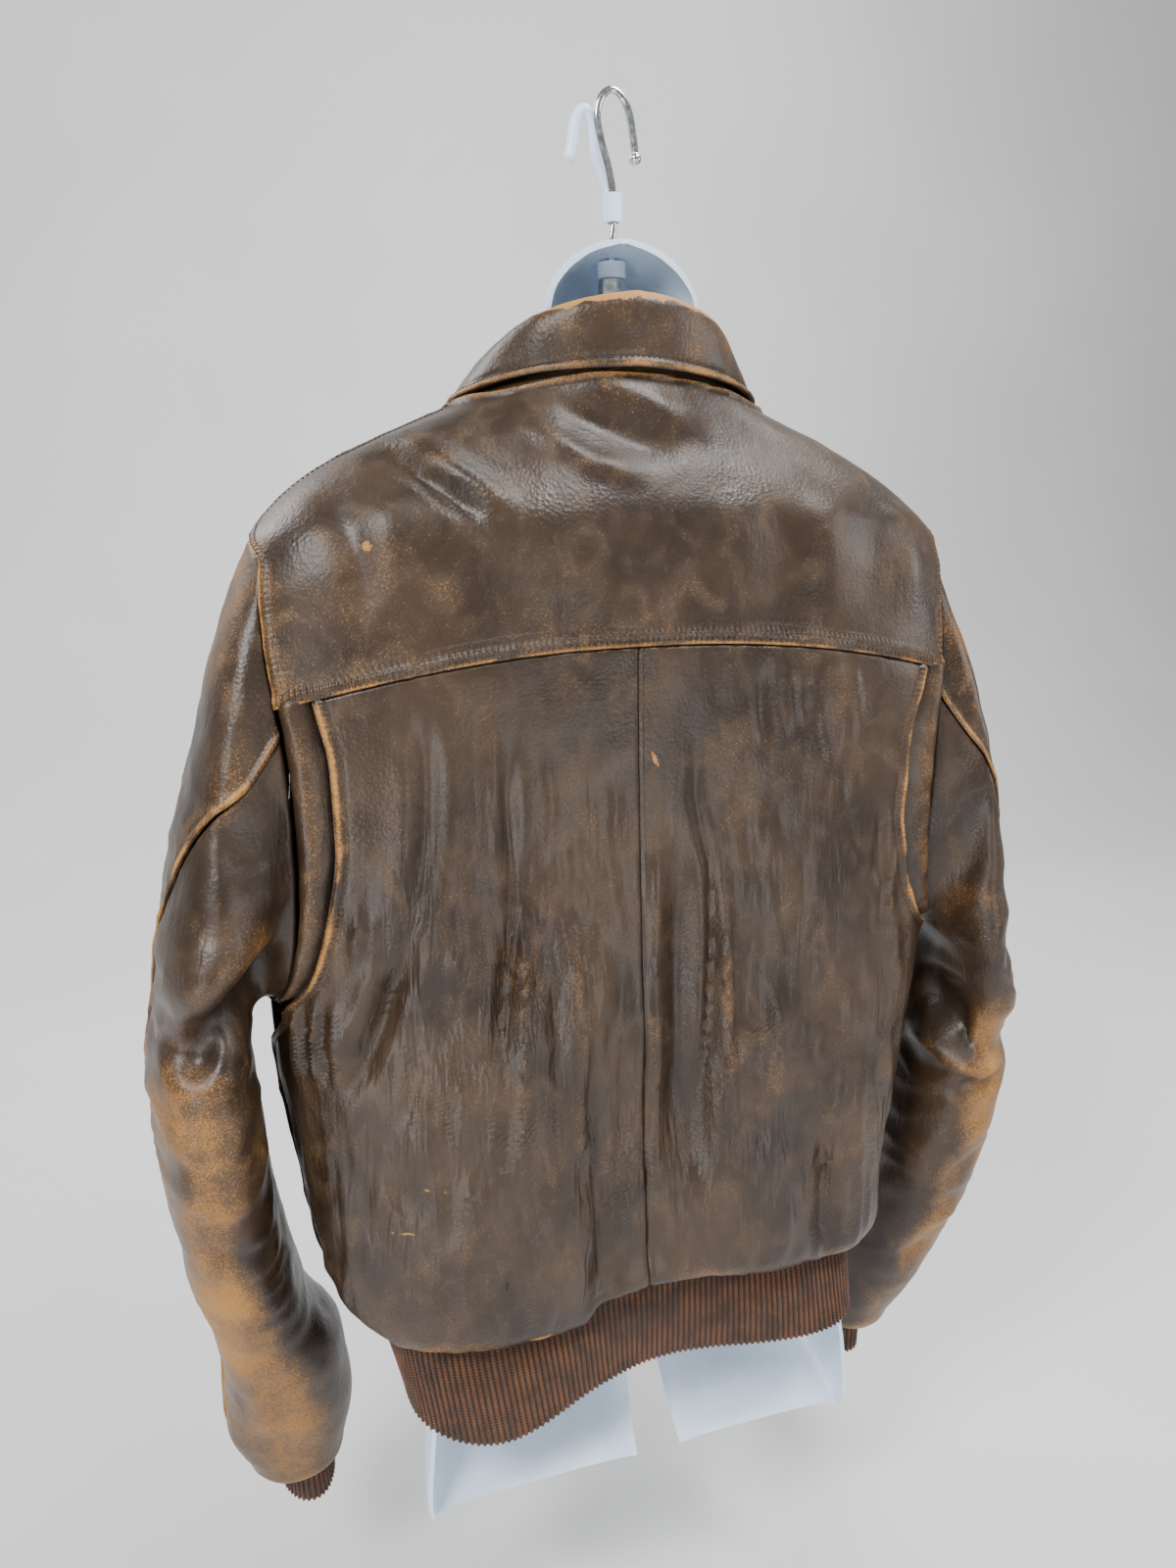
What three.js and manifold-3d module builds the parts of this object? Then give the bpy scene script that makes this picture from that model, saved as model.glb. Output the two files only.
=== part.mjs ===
// A worn leather blouson with a knitted waistband and cuffs, zipped up on a hanging torso form.
//
// Garment frame, in millimetres: x 0 is the back's middle seam, +x is the wearer's left,
// -y is the front, +y is the back, and z 0 is the waistband's lower edge. The last lines move
// everything so that the origin is where the form's hook hangs on its rail.

import * as THREE from "three";
import Module from "manifold-3d";
import { mergeVertices } from "three/addons/utils/BufferGeometryUtils.js";

const wasm = await Module();
wasm.setup();

// ---------------------------------------------------------------- driving dimensions

const LEATHER = 2.0; // wall of a leather panel
const HEM_WALL = 1.0; // the same where it is turned under at a hem
const COLLAR_WALL = 2.0; // two layers of leather, turned and stitched
const KNIT = 3.0; // wall of the ribbed knit
const SHELL = 3.0; // wall of the moulded form
const SEAM_GAP = 0.5; // between panels that are sewn together
const ARMHOLE_GAP = 1.2; // between a sleeve and the panels that it is set into
const LIE_GAP = 1.5; // under a collar leaf that lies on the yoke
const ZIP_HALF = 7; // from the middle of the zip to a front's edge

const NECK_STATION = 690; // along the torso surface, from the hem fold up to the neck seam
const UNDERARM = { x: 243, z: 283 };
const SHOULDER_TIP = 550; // the station where the shoulder's seam meets the armhole
const YOKE_DROP = 29; // how far the yoke seam falls from the middle to the armhole
const YOKE_Z = 504;
const YOKE_HALF = 225;
const PLEAT_TOP = 206; // where the back panel's raised outer seam meets the yoke

const FORM_X = -8; // the hook and neck stand a little to the wearer's right
const HOOK_WIRE = 2.4; // radius of the steel hook's wire
const HOOK_X = -9; // the top of the hook's bend
const HANG_Z = 840; // the inside of that bend, where the hook bears on its rail

// ---------------------------------------------------------------- curves through key values

// A monotone cubic through (at[i], value[i]), so that a form never overshoots its key sections.
function through(at, value) {
  const n = at.length;
  const slope = [];
  for (let i = 0; i < n - 1; i++)
    slope.push((value[i + 1] - value[i]) / (at[i + 1] - at[i]));
  const tangent = value.map((_, i) => {
    if (i === 0) return slope[0];
    if (i === n - 1) return slope[n - 2];
    const [a, b] = [slope[i - 1], slope[i]];
    return a * b <= 0 ? 0 : (2 * a * b) / (a + b);
  });
  return (x) => {
    let i = 0;
    while (i < n - 2 && x > at[i + 1]) i++;
    const h = at[i + 1] - at[i];
    const t = (x - at[i]) / h;
    const [t2, t3] = [t * t, t * t * t];
    return (
      (2 * t3 - 3 * t2 + 1) * value[i] +
      (t3 - 2 * t2 + t) * h * tangent[i] +
      (-2 * t3 + 3 * t2) * value[i + 1] +
      (t3 - t2) * h * tangent[i + 1]
    );
  };
}

// Key sections as rows of numbers: one curve for each named column, along the first column.
function sections(columns, rows) {
  const at = rows.map((r) => r[0]);
  return Object.fromEntries(
    columns.map((name, i) => [name, through(at, rows.map((r) => r[i + 1]))]),
  );
}

const clamp01 = (t) => Math.min(1, Math.max(0, t));
const ease = (t) => clamp01(t) ** 2 * (3 - 2 * clamp01(t));
const mix = (a, b, t) => a + (b - a) * t;
const radians = (degrees) => (degrees * Math.PI) / 180;

// A gaussian ridge (height > 0) or trough (height < 0) along a straight run in the x-z view.
function crease(x, z, [x0, z0, x1, z1, width, height]) {
  const [dx, dz] = [x1 - x0, z1 - z0];
  const t = clamp01(((x - x0) * dx + (z - z0) * dz) / (dx * dx + dz * dz));
  const away = Math.hypot(x - x0 - t * dx, z - z0 - t * dz);
  return height * Math.exp(-((away / width) ** 2));
}

// ---------------------------------------------------------------- the torso surface

// One row per ring: station, half width at the wearer's left and right, how far the back and the
// front stand off the side line, the ring's height at the side, back and front, and how square the
// back and the front are.
const torso = sections(
  ["left", "right", "back", "front", "zSide", "zBack", "zFront", "squareBack", "squareFront"],
  [
    [0, 190, 177, 97, 95, 76, 80, 78, 4.5, 3.0],
    [10, 195, 182, 102, 97, 61, 65, 64, 4.3, 3.0],
    [19, 203, 189, 108, 101, 59, 63, 62, 4.1, 3.0],
    [34, 210, 195, 113, 106, 71, 75, 74, 3.9, 3.0],
    [75, 219, 204, 113, 112, 112, 112, 112, 3.5, 2.9],
    [150, 230, 220, 108, 118, 186, 186, 186, 3.3, 2.8],
    [245, 240, 238, 103, 124, 282, 282, 280, 3.3, 2.7],
    [330, 243, 243, 100, 126, 366, 368, 362, 3.6, 2.7],
    [430, 244, 244, 97, 117, 462, 470, 448, 4.0, 2.7],
    [500, 242, 242, 92, 96, 530, 547, 498, 3.7, 2.5],
    [530, 236, 238, 89, 84, 564, 583, 520, 3.1, 2.3],
    [550, 222, 226, 83, 74, 583, 603, 538, 2.6, 2.2],
    [600, 180, 182, 72, 58, 616, 628, 562, 2.2, 2.1],
    [650, 114, 118, 65, 48, 645, 654, 585, 2.0, 2.0],
    [690, 72, 77, 60, 46, 664, 676, 604, 2.0, 2.0],
  ],
);
const SIDE_Y = -2; // the side line's depth

// The largest folds of the back: run in the x-z view, half width and height.
const BACK_FOLDS = [
  [122, 95, 110, 215, 62, 12], // the left half blouses out over the waistband
  [44, 70, 36, 235, 22, -7], // a fold pressed in beside the middle seam
  [2, 80, 0, 200, 36, -7], // the middle falls into the form's open back
  [-72, 85, -66, 230, 38, 6],
  [-120, 70, -108, 160, 20, -6],
  [-158, 80, -150, 160, 30, 5],
  [150, 335, 40, 240, 42, 5],
  [120, 600, 20, 530, 30, 4], // the drag line from the neck over the shoulder blade
];

// How far the hem's fold hangs below its ring, at places across the back.
const hemDrop = through(
  [-240, -190, -140, -60, 0, 44, 56, 100, 170, 210, 240],
  [-4, 6, 6, -3, -8, -2, 12, 8, 4, -10, -14],
);

function torsoPoint(u, v) {
  const [c, s] = [Math.cos(u), Math.sin(u)];
  const back = s > 0;
  const n = back ? torso.squareBack(v) : torso.squareFront(v);
  const reach = (Math.abs(c) ** n + Math.abs(s) ** n) ** (-1 / n);
  const x = (c > 0 ? torso.left(v) : torso.right(v)) * reach * c;
  const y = SIDE_Y + (back ? torso.back(v) : torso.front(v)) * reach * s;
  const end = back ? torso.zBack(v) : torso.zFront(v);
  let z = mix(torso.zSide(v), end, s * s);
  if (back) z -= hemDrop(x) * (1 - ease(v / 110)) * ease(s * 1.6);
  return new THREE.Vector3(x, y, z);
}

function normalOf(point, a, b, da, db) {
  const along = point(a + da, b).sub(point(a - da, b));
  const up = point(a, b + db).sub(point(a, b - db));
  return along.cross(up).normalize();
}

// The torso with its folds. The plain surface above the hem gives the direction in which they move
// it, and what is turned under keeps clear of the waistband.
const HEM_TURN = 40; // the station where the hem's rolled fold ends
const torsoSurface = {
  point(u, v) {
    const p = torsoPoint(u, v);
    if (Math.sin(u) <= 0) return p;
    const lift = BACK_FOLDS.reduce((sum, f) => sum + crease(p.x, p.z, f), 0);
    const share = ease(Math.sin(u) * 2.2) * (lift < 0 ? ease((v - 10) / 50) : 1);
    const out = normalOf(torsoPoint, u, Math.max(v, HEM_TURN), 1e-3, 0.5);
    return p.addScaledVector(out, lift * share);
  },
  normal(u, v) {
    return normalOf(this.point.bind(this), u, v, 1e-3, 0.5);
  },
};

// The angle and station of the torso at a place in the x-z view, on the back or on the front.
function locate(x, z, back = true) {
  let v = 300;
  let u = 1;
  for (let i = 0; i < 14; i++) {
    const n = back ? torso.squareBack(v) : torso.squareFront(v);
    const across = Math.min(0.9999, Math.abs(x) / (x > 0 ? torso.left(v) : torso.right(v)));
    const deep = (1 - across ** n) ** (1 / n);
    u = Math.atan2(deep, x > 0 ? across : -across) * (back ? 1 : -1);
    let [low, high] = [30, NECK_STATION];
    for (let j = 0; j < 30; j++) {
      const half = (low + high) / 2;
      if (torsoPoint(u, half).z < z) low = half;
      else high = half;
    }
    v = (low + high) / 2;
  }
  return [u, v];
}

// A seam through places in the x-z view, as a curve of angle and station.
function seam(places, back = true, ends = []) {
  const found = [...places.map(([x, z]) => locate(x, z, back)), ...ends];
  const at = found.map((_, i) => i / (found.length - 1));
  const [angle, station] = [0, 1].map((k) => through(at, found.map((f) => f[k])));
  return (t) => [angle(t), station(t)];
}

// ---------------------------------------------------------------- seam lines of the torso

const yokeSeamZ = (x) => YOKE_Z - YOKE_DROP * (Math.abs(x) / YOKE_HALF) ** 2.2;

const sideAngle = (side) => (side > 0 ? 0 : Math.PI);
const frontSideAngle = (side) => (side > 0 ? 0 : -Math.PI);
const middle = Math.PI / 2;

// The armhole from the underarm up to the shoulder's tip, on the back and on the front.
function armholeBack(side) {
  const places = [[237, 284], [231, 297], [224, 330], [221, 380], [222, 430], [226, 474],
    [229, 502], [230, 530], [228, 556]];
  return seam(places.map(([x, z]) => [side * x, z]), true, [[sideAngle(side), SHOULDER_TIP]]);
}
const CORNER_SHARE = 5 / 9; // of the armhole's back, up to the yoke's corner
function armholeFront(side) {
  const places = [[237, 284], [230, 300], [218, 350], [210, 410], [209, 460], [214, 505], [221, 545]];
  return seam(places.map(([x, z]) => [side * x, z]), false, [[frontSideAngle(side), SHOULDER_TIP]]);
}
// The back panel's outer edge: a raised seam that runs inside the armhole, over a pleat.
function pleatSeam(side) {
  const places = side > 0
    ? [[233, 281], [218, 304], [205, 345], [198, 395], [199, 440], [206, 480]]
    : [[231, 281], [210, 304], [194, 342], [188, 390], [192, 436], [206, 480]];
  return seam(places.map(([x, z]) => [side * x, z]));
}

const armholes = new Map([1, -1].map((side) => [side, [armholeBack(side), armholeFront(side)]]));

// ---------------------------------------------------------------- walls from grids

// A closed wall between two grids of points; closed rings join their last column to their first.
function wall(outer, inner, ring = false) {
  const [rows, cols] = [outer.length, outer[0].length];
  const points = [...outer.flat(), ...inner.flat()];
  const at = (layer, i, j) => layer * rows * cols + i * cols + (j % cols);
  const faces = [];
  // a quad is split along its shorter diagonal
  const quad = (a, b, c, d) => {
    const short = points[a].distanceTo(points[c]) <= points[b].distanceTo(points[d]);
    faces.push(...(short ? [a, b, c, a, c, d] : [b, c, d, b, d, a]));
  };
  const lastCol = ring ? cols : cols - 1;
  for (let i = 0; i < rows - 1; i++)
    for (let j = 0; j < lastCol; j++) {
      quad(at(0, i, j), at(0, i, j + 1), at(0, i + 1, j + 1), at(0, i + 1, j));
      quad(at(1, i, j), at(1, i + 1, j), at(1, i + 1, j + 1), at(1, i, j + 1));
    }
  for (let j = 0; j < lastCol; j++) {
    quad(at(0, 0, j), at(1, 0, j), at(1, 0, j + 1), at(0, 0, j + 1));
    quad(at(0, rows - 1, j), at(0, rows - 1, j + 1), at(1, rows - 1, j + 1), at(1, rows - 1, j));
  }
  if (!ring)
    for (let i = 0; i < rows - 1; i++) {
      quad(at(0, i, 0), at(0, i + 1, 0), at(1, i + 1, 0), at(1, i, 0));
      const j = cols - 1;
      quad(at(0, i, j), at(1, i, j), at(1, i + 1, j), at(0, i + 1, j));
    }
  const geometry = new THREE.BufferGeometry();
  geometry.setAttribute(
    "position",
    new THREE.Float32BufferAttribute(points.flatMap((p) => p.toArray()), 3),
  );
  geometry.setIndex(faces);
  return facingOut(geometry);
}

function facingOut(geometry) {
  const p = geometry.getAttribute("position");
  const index = geometry.index.array;
  const [a, b, c] = [new THREE.Vector3(), new THREE.Vector3(), new THREE.Vector3()];
  let volume = 0;
  for (let i = 0; i < index.length; i += 3) {
    a.fromBufferAttribute(p, index[i]);
    b.fromBufferAttribute(p, index[i + 1]);
    c.fromBufferAttribute(p, index[i + 2]);
    volume += a.dot(b.cross(c));
  }
  if (volume < 0)
    for (let i = 0; i < index.length; i += 3)
      [index[i + 1], index[i + 2]] = [index[i + 2], index[i + 1]];
  return geometry;
}

// Moves a grid's edge points along the cloth, so that the piece ends short of its seams.
function trimmed(grid, gap) {
  const shift = (p, q, far) => p.clone().add(q.clone().sub(p).setLength(far));
  const out = grid.map((row) => row.map((p) => p.clone()));
  const [rows, cols] = [grid.length, grid[0].length];
  const sideGap = (i) => (typeof gap.side === "function" ? gap.side(i / (rows - 1)) : gap.side);
  for (let i = 0; i < rows; i++) {
    out[i][0] = shift(out[i][0], grid[i][1], sideGap(i));
    out[i][cols - 1] = shift(out[i][cols - 1], grid[i][cols - 2], gap.otherSide);
  }
  for (let j = 0; j < cols; j++) {
    const down = grid[1][j].clone().sub(grid[0][j]).setLength(gap.bottom);
    const up = grid[rows - 2][j].clone().sub(grid[rows - 1][j]).setLength(gap.top);
    out[0][j].add(down);
    out[rows - 1][j].add(up);
  }
  return out;
}

const HALF = { side: SEAM_GAP / 2, otherSide: SEAM_GAP / 2, bottom: SEAM_GAP / 2, top: SEAM_GAP / 2 };

// A sewn piece: the part of a surface that place(s, t) covers, with a wall on its hidden side.
function panel(surface, place, cols, rows, { thick = () => LEATHER, gap = {}, outward } = {}) {
  const grid = [];
  const inward = [];
  for (let i = 0; i <= rows; i++) {
    const [line, turned] = [[], []];
    for (let j = 0; j <= cols; j++) {
      const [a, b] = place(j / cols, i / rows);
      const p = surface.point(a, b);
      const n = surface.normal(a, b);
      if (outward && n.dot(outward(p)) < 0) n.negate();
      line.push(p);
      turned.push(n.multiplyScalar(-thick(i / rows)));
    }
    grid.push(line);
    inward.push(turned);
  }
  const outer = trimmed(grid, { ...HALF, ...gap });
  const inner = outer.map((row, i) => row.map((p, j) => p.clone().add(inward[i][j])));
  return wall(outer, inner);
}

const fromTorsoAxis = (p) => new THREE.Vector3(p.x, p.y + 12, Math.max(0, p.z - 560));

// ---------------------------------------------------------------- back, yoke and pleats

const FOLD_SHARE = 0.22; // of a panel's rows, in the rolled fold of its hem

// Stations from the hem up to a panel's top, with more rows in the hem's rolled fold.
const upFrom = (t, top) =>
  t < FOLD_SHARE
    ? mix(0, HEM_TURN, t / FOLD_SHARE)
    : mix(HEM_TURN, top, (t - FOLD_SHARE) / (1 - FOLD_SHARE));

const turnedHem = (t) => mix(HEM_WALL, LEATHER, ease((t - 0.16) / 0.1));

// The outer edge of a torso panel: up the side seam to the underarm, then along a seam.
function outerEdge(along, underarmShare, angleAtSide) {
  const [, join] = along(0);
  const fold = underarmShare * 0.42; // of the rows, in the hem's rolled fold
  return (t) => {
    if (t >= underarmShare) return along((t - underarmShare) / (1 - underarmShare));
    if (t < fold) return [angleAtSide, mix(0, HEM_TURN, t / fold)];
    return [angleAtSide, mix(HEM_TURN, join, (t - fold) / (underarmShare - fold))];
  };
}

function backPanel(side) {
  const edge = outerEdge(pleatSeam(side), 0.5, sideAngle(side));
  const middleTop = locate(0, YOKE_Z)[1];
  const place = (s, t) => {
    const [u, v] = edge(t);
    const top = yokeSeamZ(side * mix(PLEAT_TOP, 0, s));
    const centre = upFrom(t, middleTop);
    const station = mix(v, centre, ease(s * 1.15) * 0.999);
    const angle = mix(u, middle, s);
    if (t < 1) return [angle, station];
    return locate(side * mix(PLEAT_TOP, 0, s), top);
  };
  return panel(torsoSurface, place, 10, 20, { thick: turnedHem });
}

function pleat(side) {
  const [inner, outer] = [pleatSeam(side), armholes.get(side)[0]];
  const surface = {
    point: (s, t) => {
      const [a, b] = [inner(mix(0.1, 1, t)), outer(mix(0.08, 1, t) * CORNER_SHARE)];
      const [u, v] = [mix(a[0], b[0], s), mix(a[1], b[1], s)];
      const depth = -5 + 9 * Math.sin(Math.PI * clamp01(s)) ** 2 - 5 * s;
      return torsoSurface.point(u, v).addScaledVector(torsoSurface.normal(u, v), depth);
    },
    normal(s, t) {
      return normalOf(this.point, s, t, 0.02, 0.01);
    },
  };
  return panel(surface, (s, t) => [s, t], 4, 9, {
    outward: fromTorsoAxis,
    gap: { side: 1.4, otherSide: ARMHOLE_GAP, bottom: 1, top: 1.2 },
  });
}

function yoke() {
  const armShare = 0.5; // of the rows, along the armhole: the rest follow the shoulder's seam
  const half = (side) => {
    const arm = armholes.get(side)[0];
    return (t) => {
      if (t <= armShare) return arm(mix(CORNER_SHARE, 1, t / armShare));
      return [sideAngle(side), mix(SHOULDER_TIP, NECK_STATION, (t - armShare) / (1 - armShare))];
    };
  };
  const edges = [half(1), half(-1)];
  const middleFoot = locate(0, YOKE_Z)[1];
  const place = (s, t) => {
    const side = s < 0.5 ? 1 : -1;
    const [u, v] = edges[side > 0 ? 0 : 1](t);
    const inward = side > 0 ? s * 2 : (1 - s) * 2;
    const x = side * mix(YOKE_HALF + 1, 0, inward);
    const foot = t === 0 ? locate(x, yokeSeamZ(x)) : null;
    if (foot) return foot;
    const centre = mix(middleFoot, NECK_STATION, t);
    return [mix(u, middle, inward), mix(v, centre, ease(inward * 1.1))];
  };
  return panel(torsoSurface, place, 20, 10, { gap: { side: 1.6, otherSide: 1.6 } });
}

// ---------------------------------------------------------------- fronts

function front(side) {
  const edge = outerEdge((t) => {
    if (t < 0.7) return armholes.get(side)[1](t / 0.7);
    const station = mix(SHOULDER_TIP, NECK_STATION, (t - 0.7) / 0.3);
    return [frontSideAngle(side), station];
  }, 1 / 3, frontSideAngle(side));
  const place = (s, t) => {
    const [u, v] = edge(t);
    const station = upFrom(t, NECK_STATION);
    const across = torso.left(station);
    const zipAngle = -middle + side * Math.asin(ZIP_HALF / across);
    const angle = mix(u, zipAngle, s);
    return [angle, mix(v, station, ease(s * 1.1))];
  };
  const atArmhole = (t) => (t > 0.3 && t < 0.82 ? 2.2 : SEAM_GAP / 2);
  return panel(torsoSurface, place, 8, 15, { gap: { side: atArmhole }, thick: turnedHem });
}

// ---------------------------------------------------------------- sleeves

// One row per ring: outermost point (x, z), innermost point (x, z), middle depth, half depth.
const ARM_COLUMNS = ["outX", "outZ", "inX", "inZ", "y", "deep"];
const ARM = {
  left: sections(ARM_COLUMNS, [
    [0, 226, 577, 243, 283, -4, 62],
    [1, 243, 543, 247, 280, 0, 74],
    [2, 259, 498, 250, 275, 4, 82],
    [3, 274, 444, 252, 267, 8, 86],
    [4, 291, 385, 254, 255, 12, 86],
    [5, 302, 336, 254, 240, 15, 84],
    [6, 311, 279, 254, 222, 17, 82],
    [7, 317, 237, 252, 200, 17, 79],
    [8, 316, 187, 248, 168, 12, 75],
    [9, 308, 111, 240, 105, 2, 68],
    [10, 294, 37, 226, 42, -12, 62],
    [11, 289, -12, 204, -2, -23, 57],
    [12, 290, -61, 200, -50, -33, 52],
    [13, 280, -94, 205, -86, -40, 48],
    [13.6, 276, -104, 207, -99, -42, 46],
    [14, 268, -107, 212, -103, -43, 43],
    [14.4, 262, -104, 216, -101, -43, 40.5],
    [15, 260, -96, 217, -94, -43, 38.5],
  ]),
  right: sections(ARM_COLUMNS, [
    [0, 226, 577, 243, 283, -4, 62],
    [1, 240, 543, 247, 280, 0, 74],
    [2, 256, 498, 250, 275, 4, 81],
    [3, 265, 444, 252, 267, 8, 84],
    [4, 276, 385, 254, 255, 11, 82],
    [5, 286, 336, 254, 240, 12, 79],
    [6, 296, 279, 254, 222, 12, 76],
    [7, 306, 232, 250, 200, 12, 73],
    [8, 319, 165, 243, 145, 8, 68],
    [9, 317, 105, 234, 85, 0, 64],
    [10, 309, 38, 226, 28, -12, 60],
    [11, 297, -18, 215, -20, -26, 55],
    [12, 284, -64, 205, -62, -38, 50],
    [13, 271, -94, 203, -88, -46, 46],
    [13.6, 268, -105, 204, -100, -49, 44.5],
    [14, 260, -109, 206.5, -105, -50, 42],
    [14.4, 254, -106, 209.5, -103, -50, 39],
    [15, 252, -98, 210.5, -95, -50, 37.5],
  ]),
};
const ARM_RINGS = 15;
const ARM_STOPS = [0, 1, 2, 3, 4, 5, 6, 7, 8, 9, 10, 11, 12, 13, 13.6, 14, 14.4, ARM_RINGS];
const CAP_RINGS = 2.6; // rings over which the sleeve's head turns into a plain tube
const ARM_SQUARE = 2.3;

// The folds of a sleeve's back: an overhanging bulge, with a deep trough under it.
const SLEEVE_FOLDS = {
  left: [
    [232, 366, 284, 322, 26, 9],
    [226, 334, 288, 284, 20, -13],
  ],
  right: [
    [228, 296, 292, 226, 28, 8],
    [226, 254, 296, 186, 20, -12],
  ],
};

function armholePoint(side, w) {
  // w 0 is the shoulder's tip, half a turn is the underarm, and the back comes first
  const turn = ((w % (2 * Math.PI)) + 2 * Math.PI) % (2 * Math.PI);
  const [backSeam, frontSeam] = armholes.get(side);
  const [u, v] = turn <= Math.PI ? backSeam(1 - turn / Math.PI) : frontSeam(turn / Math.PI - 1);
  return torsoSurface.point(u, v);
}

function sleeveSurface(side) {
  const arm = side > 0 ? ARM.left : ARM.right;
  const folds = side > 0 ? SLEEVE_FOLDS.left : SLEEVE_FOLDS.right;
  const ringPoint = (w, t) => {
    const out = new THREE.Vector3(arm.outX(t), 0, arm.outZ(t));
    const inn = new THREE.Vector3(arm.inX(t), 0, arm.inZ(t));
    const [c, s] = [Math.cos(w), Math.sin(w)];
    const reach = (Math.abs(c) ** ARM_SQUARE + Math.abs(s) ** ARM_SQUARE) ** (-1 / ARM_SQUARE);
    const p = out.clone().add(inn).multiplyScalar(0.5);
    p.addScaledVector(out.sub(inn).multiplyScalar(0.5), c * reach);
    p.y = arm.y(t) + arm.deep(t) * s * reach;
    p.x *= side;
    return p;
  };
  const plain = (w, t) => {
    const p = ringPoint(w, t);
    if (t >= CAP_RINGS) return p;
    const pull = armholePoint(side, w).sub(ringPoint(w, 0));
    return p.addScaledVector(pull, (1 - t / CAP_RINGS) ** 2);
  };
  return {
    point(w, t) {
      const p = plain(w, t);
      const lift = folds.reduce((sum, f) => sum + crease(Math.abs(p.x), p.z, f), 0);
      const share = ease(Math.sin(w) * 1.8) * ease(t / 1.2);
      if (share === 0) return p;
      return p.add(new THREE.Vector3(0, lift * share, 0));
    },
    normal(w, t) {
      const n = normalOf(this.point.bind(this), w, Math.max(0.02, t), 0.01, 0.02);
      return n.multiplyScalar(-side);
    },
  };
}

// Where the sleeve's two seams run: over the back from the yoke's corner, and along the inside.
const elbowSeams = {
  left: through([0, 1, 2, 3, 4, 5, 7, 11, 15], [88, 76, 60, 40, 20, 5, -8, -6, 14].map(radians)),
  right: through([0, 1, 2, 3, 4, 5, 7, 11, 15], [88, 84, 76, 66, 54, 42, 24, 4, 14].map(radians)),
};
const innerSeam = through([0, 5, 15], [200, 214, 216].map(radians));

function sleevePiece(side, upper) {
  const surface = sleeveSurface(side);
  const elbowSeam = side > 0 ? elbowSeams.left : elbowSeams.right;
  const rows = ARM_STOPS.length - 1;
  const place = (s, t) => {
    const ring = ARM_STOPS[Math.round(t * rows)];
    const [back, inside] = [elbowSeam(ring), innerSeam(ring)];
    if (!upper) return [mix(back, inside, s), ring];
    // a column of the upper piece lies on the line from the shoulder's tip
    const tip = 2 / 3;
    const pivot = Math.min(0, back - radians(24));
    if (s < tip) return [mix(inside - 2 * Math.PI, pivot, s / tip), ring];
    return [mix(pivot, back, ((s - tip) / (1 - tip)) ** 1.4), ring];
  };
  // thinner where it is bunched into the underarm and where the wrist's hem is turned under
  const full = (t) => ease((t - 0.03) / 0.1) * (1 - ease((t - 0.7) / 0.1));
  const thick = (t) => mix(HEM_WALL, LEATHER, full(t));
  return panel(surface, place, upper ? 12 : 8, rows, { gap: { bottom: ARMHOLE_GAP }, thick });
}

// ---------------------------------------------------------------- knitted cuffs and waistband

function ringWall(rows, cols, pointAt, thick, centreAt) {
  const outer = [];
  const inner = [];
  for (let i = 0; i <= rows; i++) {
    const [a, b] = [[], []];
    for (let j = 0; j < cols; j++) {
      const p = pointAt((j / cols) * 2 * Math.PI, i / rows);
      const inward = centreAt(i / rows).sub(p).setZ(0).setLength(thick);
      a.push(p);
      b.push(p.clone().add(inward));
    }
    outer.push(a);
    inner.push(b);
  }
  return wall(outer, inner, true);
}

function cuff(side) {
  const ring = side > 0
    ? sections(["outX", "inX", "y", "z"], [[0, 257, 219, -43, -84], [1, 255, 214, -44, -132]])
    : sections(["outX", "inX", "y", "z"], [[0, 249, 213, -50, -84], [1, 247, 209, -52, -134]]);
  const centreAt = (t) =>
    new THREE.Vector3((side * (ring.outX(t) + ring.inX(t))) / 2, ring.y(t), ring.z(t));
  const pointAt = (w, t) => {
    const p = centreAt(t);
    p.x += ((side * (ring.outX(t) - ring.inX(t))) / 2) * Math.cos(w);
    p.y += mix(33, 36, t) * Math.sin(w);
    return p;
  };
  return ringWall(3, 16, pointAt, KNIT, centreAt);
}

// One row per ring, from the hem seam down: half width left and right, back, front and height.
const band = sections(
  ["left", "right", "back", "front", "z", "squareBack"],
  [
    [0, 186, 172, 92, 90, 82, 4.5],
    [0.35, 184, 172, 99, 94, 54, 4.8],
    [0.7, 178, 170, 107, 94, 26, 5.4],
    [1, 171, 168, 112, 92, 0, 6.0],
  ],
);
const BAND_SQUARE = 3.4;

const bandSurface = {
  point(u, t) {
    const [c, s] = [Math.cos(u), Math.sin(u)];
    const n = s > 0 ? band.squareBack(t) : BAND_SQUARE;
    const reach = (Math.abs(c) ** n + Math.abs(s) ** n) ** (-1 / n);
    const x = (c > 0 ? band.left(t) : band.right(t)) * reach * c;
    const atBack = s > 0 ? ease(s * 1.5) : 0;
    const hollow = 20 * atBack * Math.exp(-(((x + 12) / 70) ** 2)) * t;
    const bulge = Math.exp(-(((x - 118) / 52) ** 2)) * atBack * t;
    const y = SIDE_Y + (s > 0 ? band.back(t) + 6 * bulge - hollow : band.front(t)) * reach * s;
    return new THREE.Vector3(x, y, band.z(t) - 16 * bulge * t);
  },
  normal(u, t) {
    return normalOf(this.point, u, t, 2e-3, 0.01);
  },
};

function waistband() {
  const end = Math.asin(ZIP_HALF / 166);
  const place = (s, t) => [mix(-middle + end, 2 * Math.PI - middle - end, s), t];
  return panel(bandSurface, place, 40, 4, { thick: () => KNIT, outward: fromTorsoAxis });
}

// ---------------------------------------------------------------- collar

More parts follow.
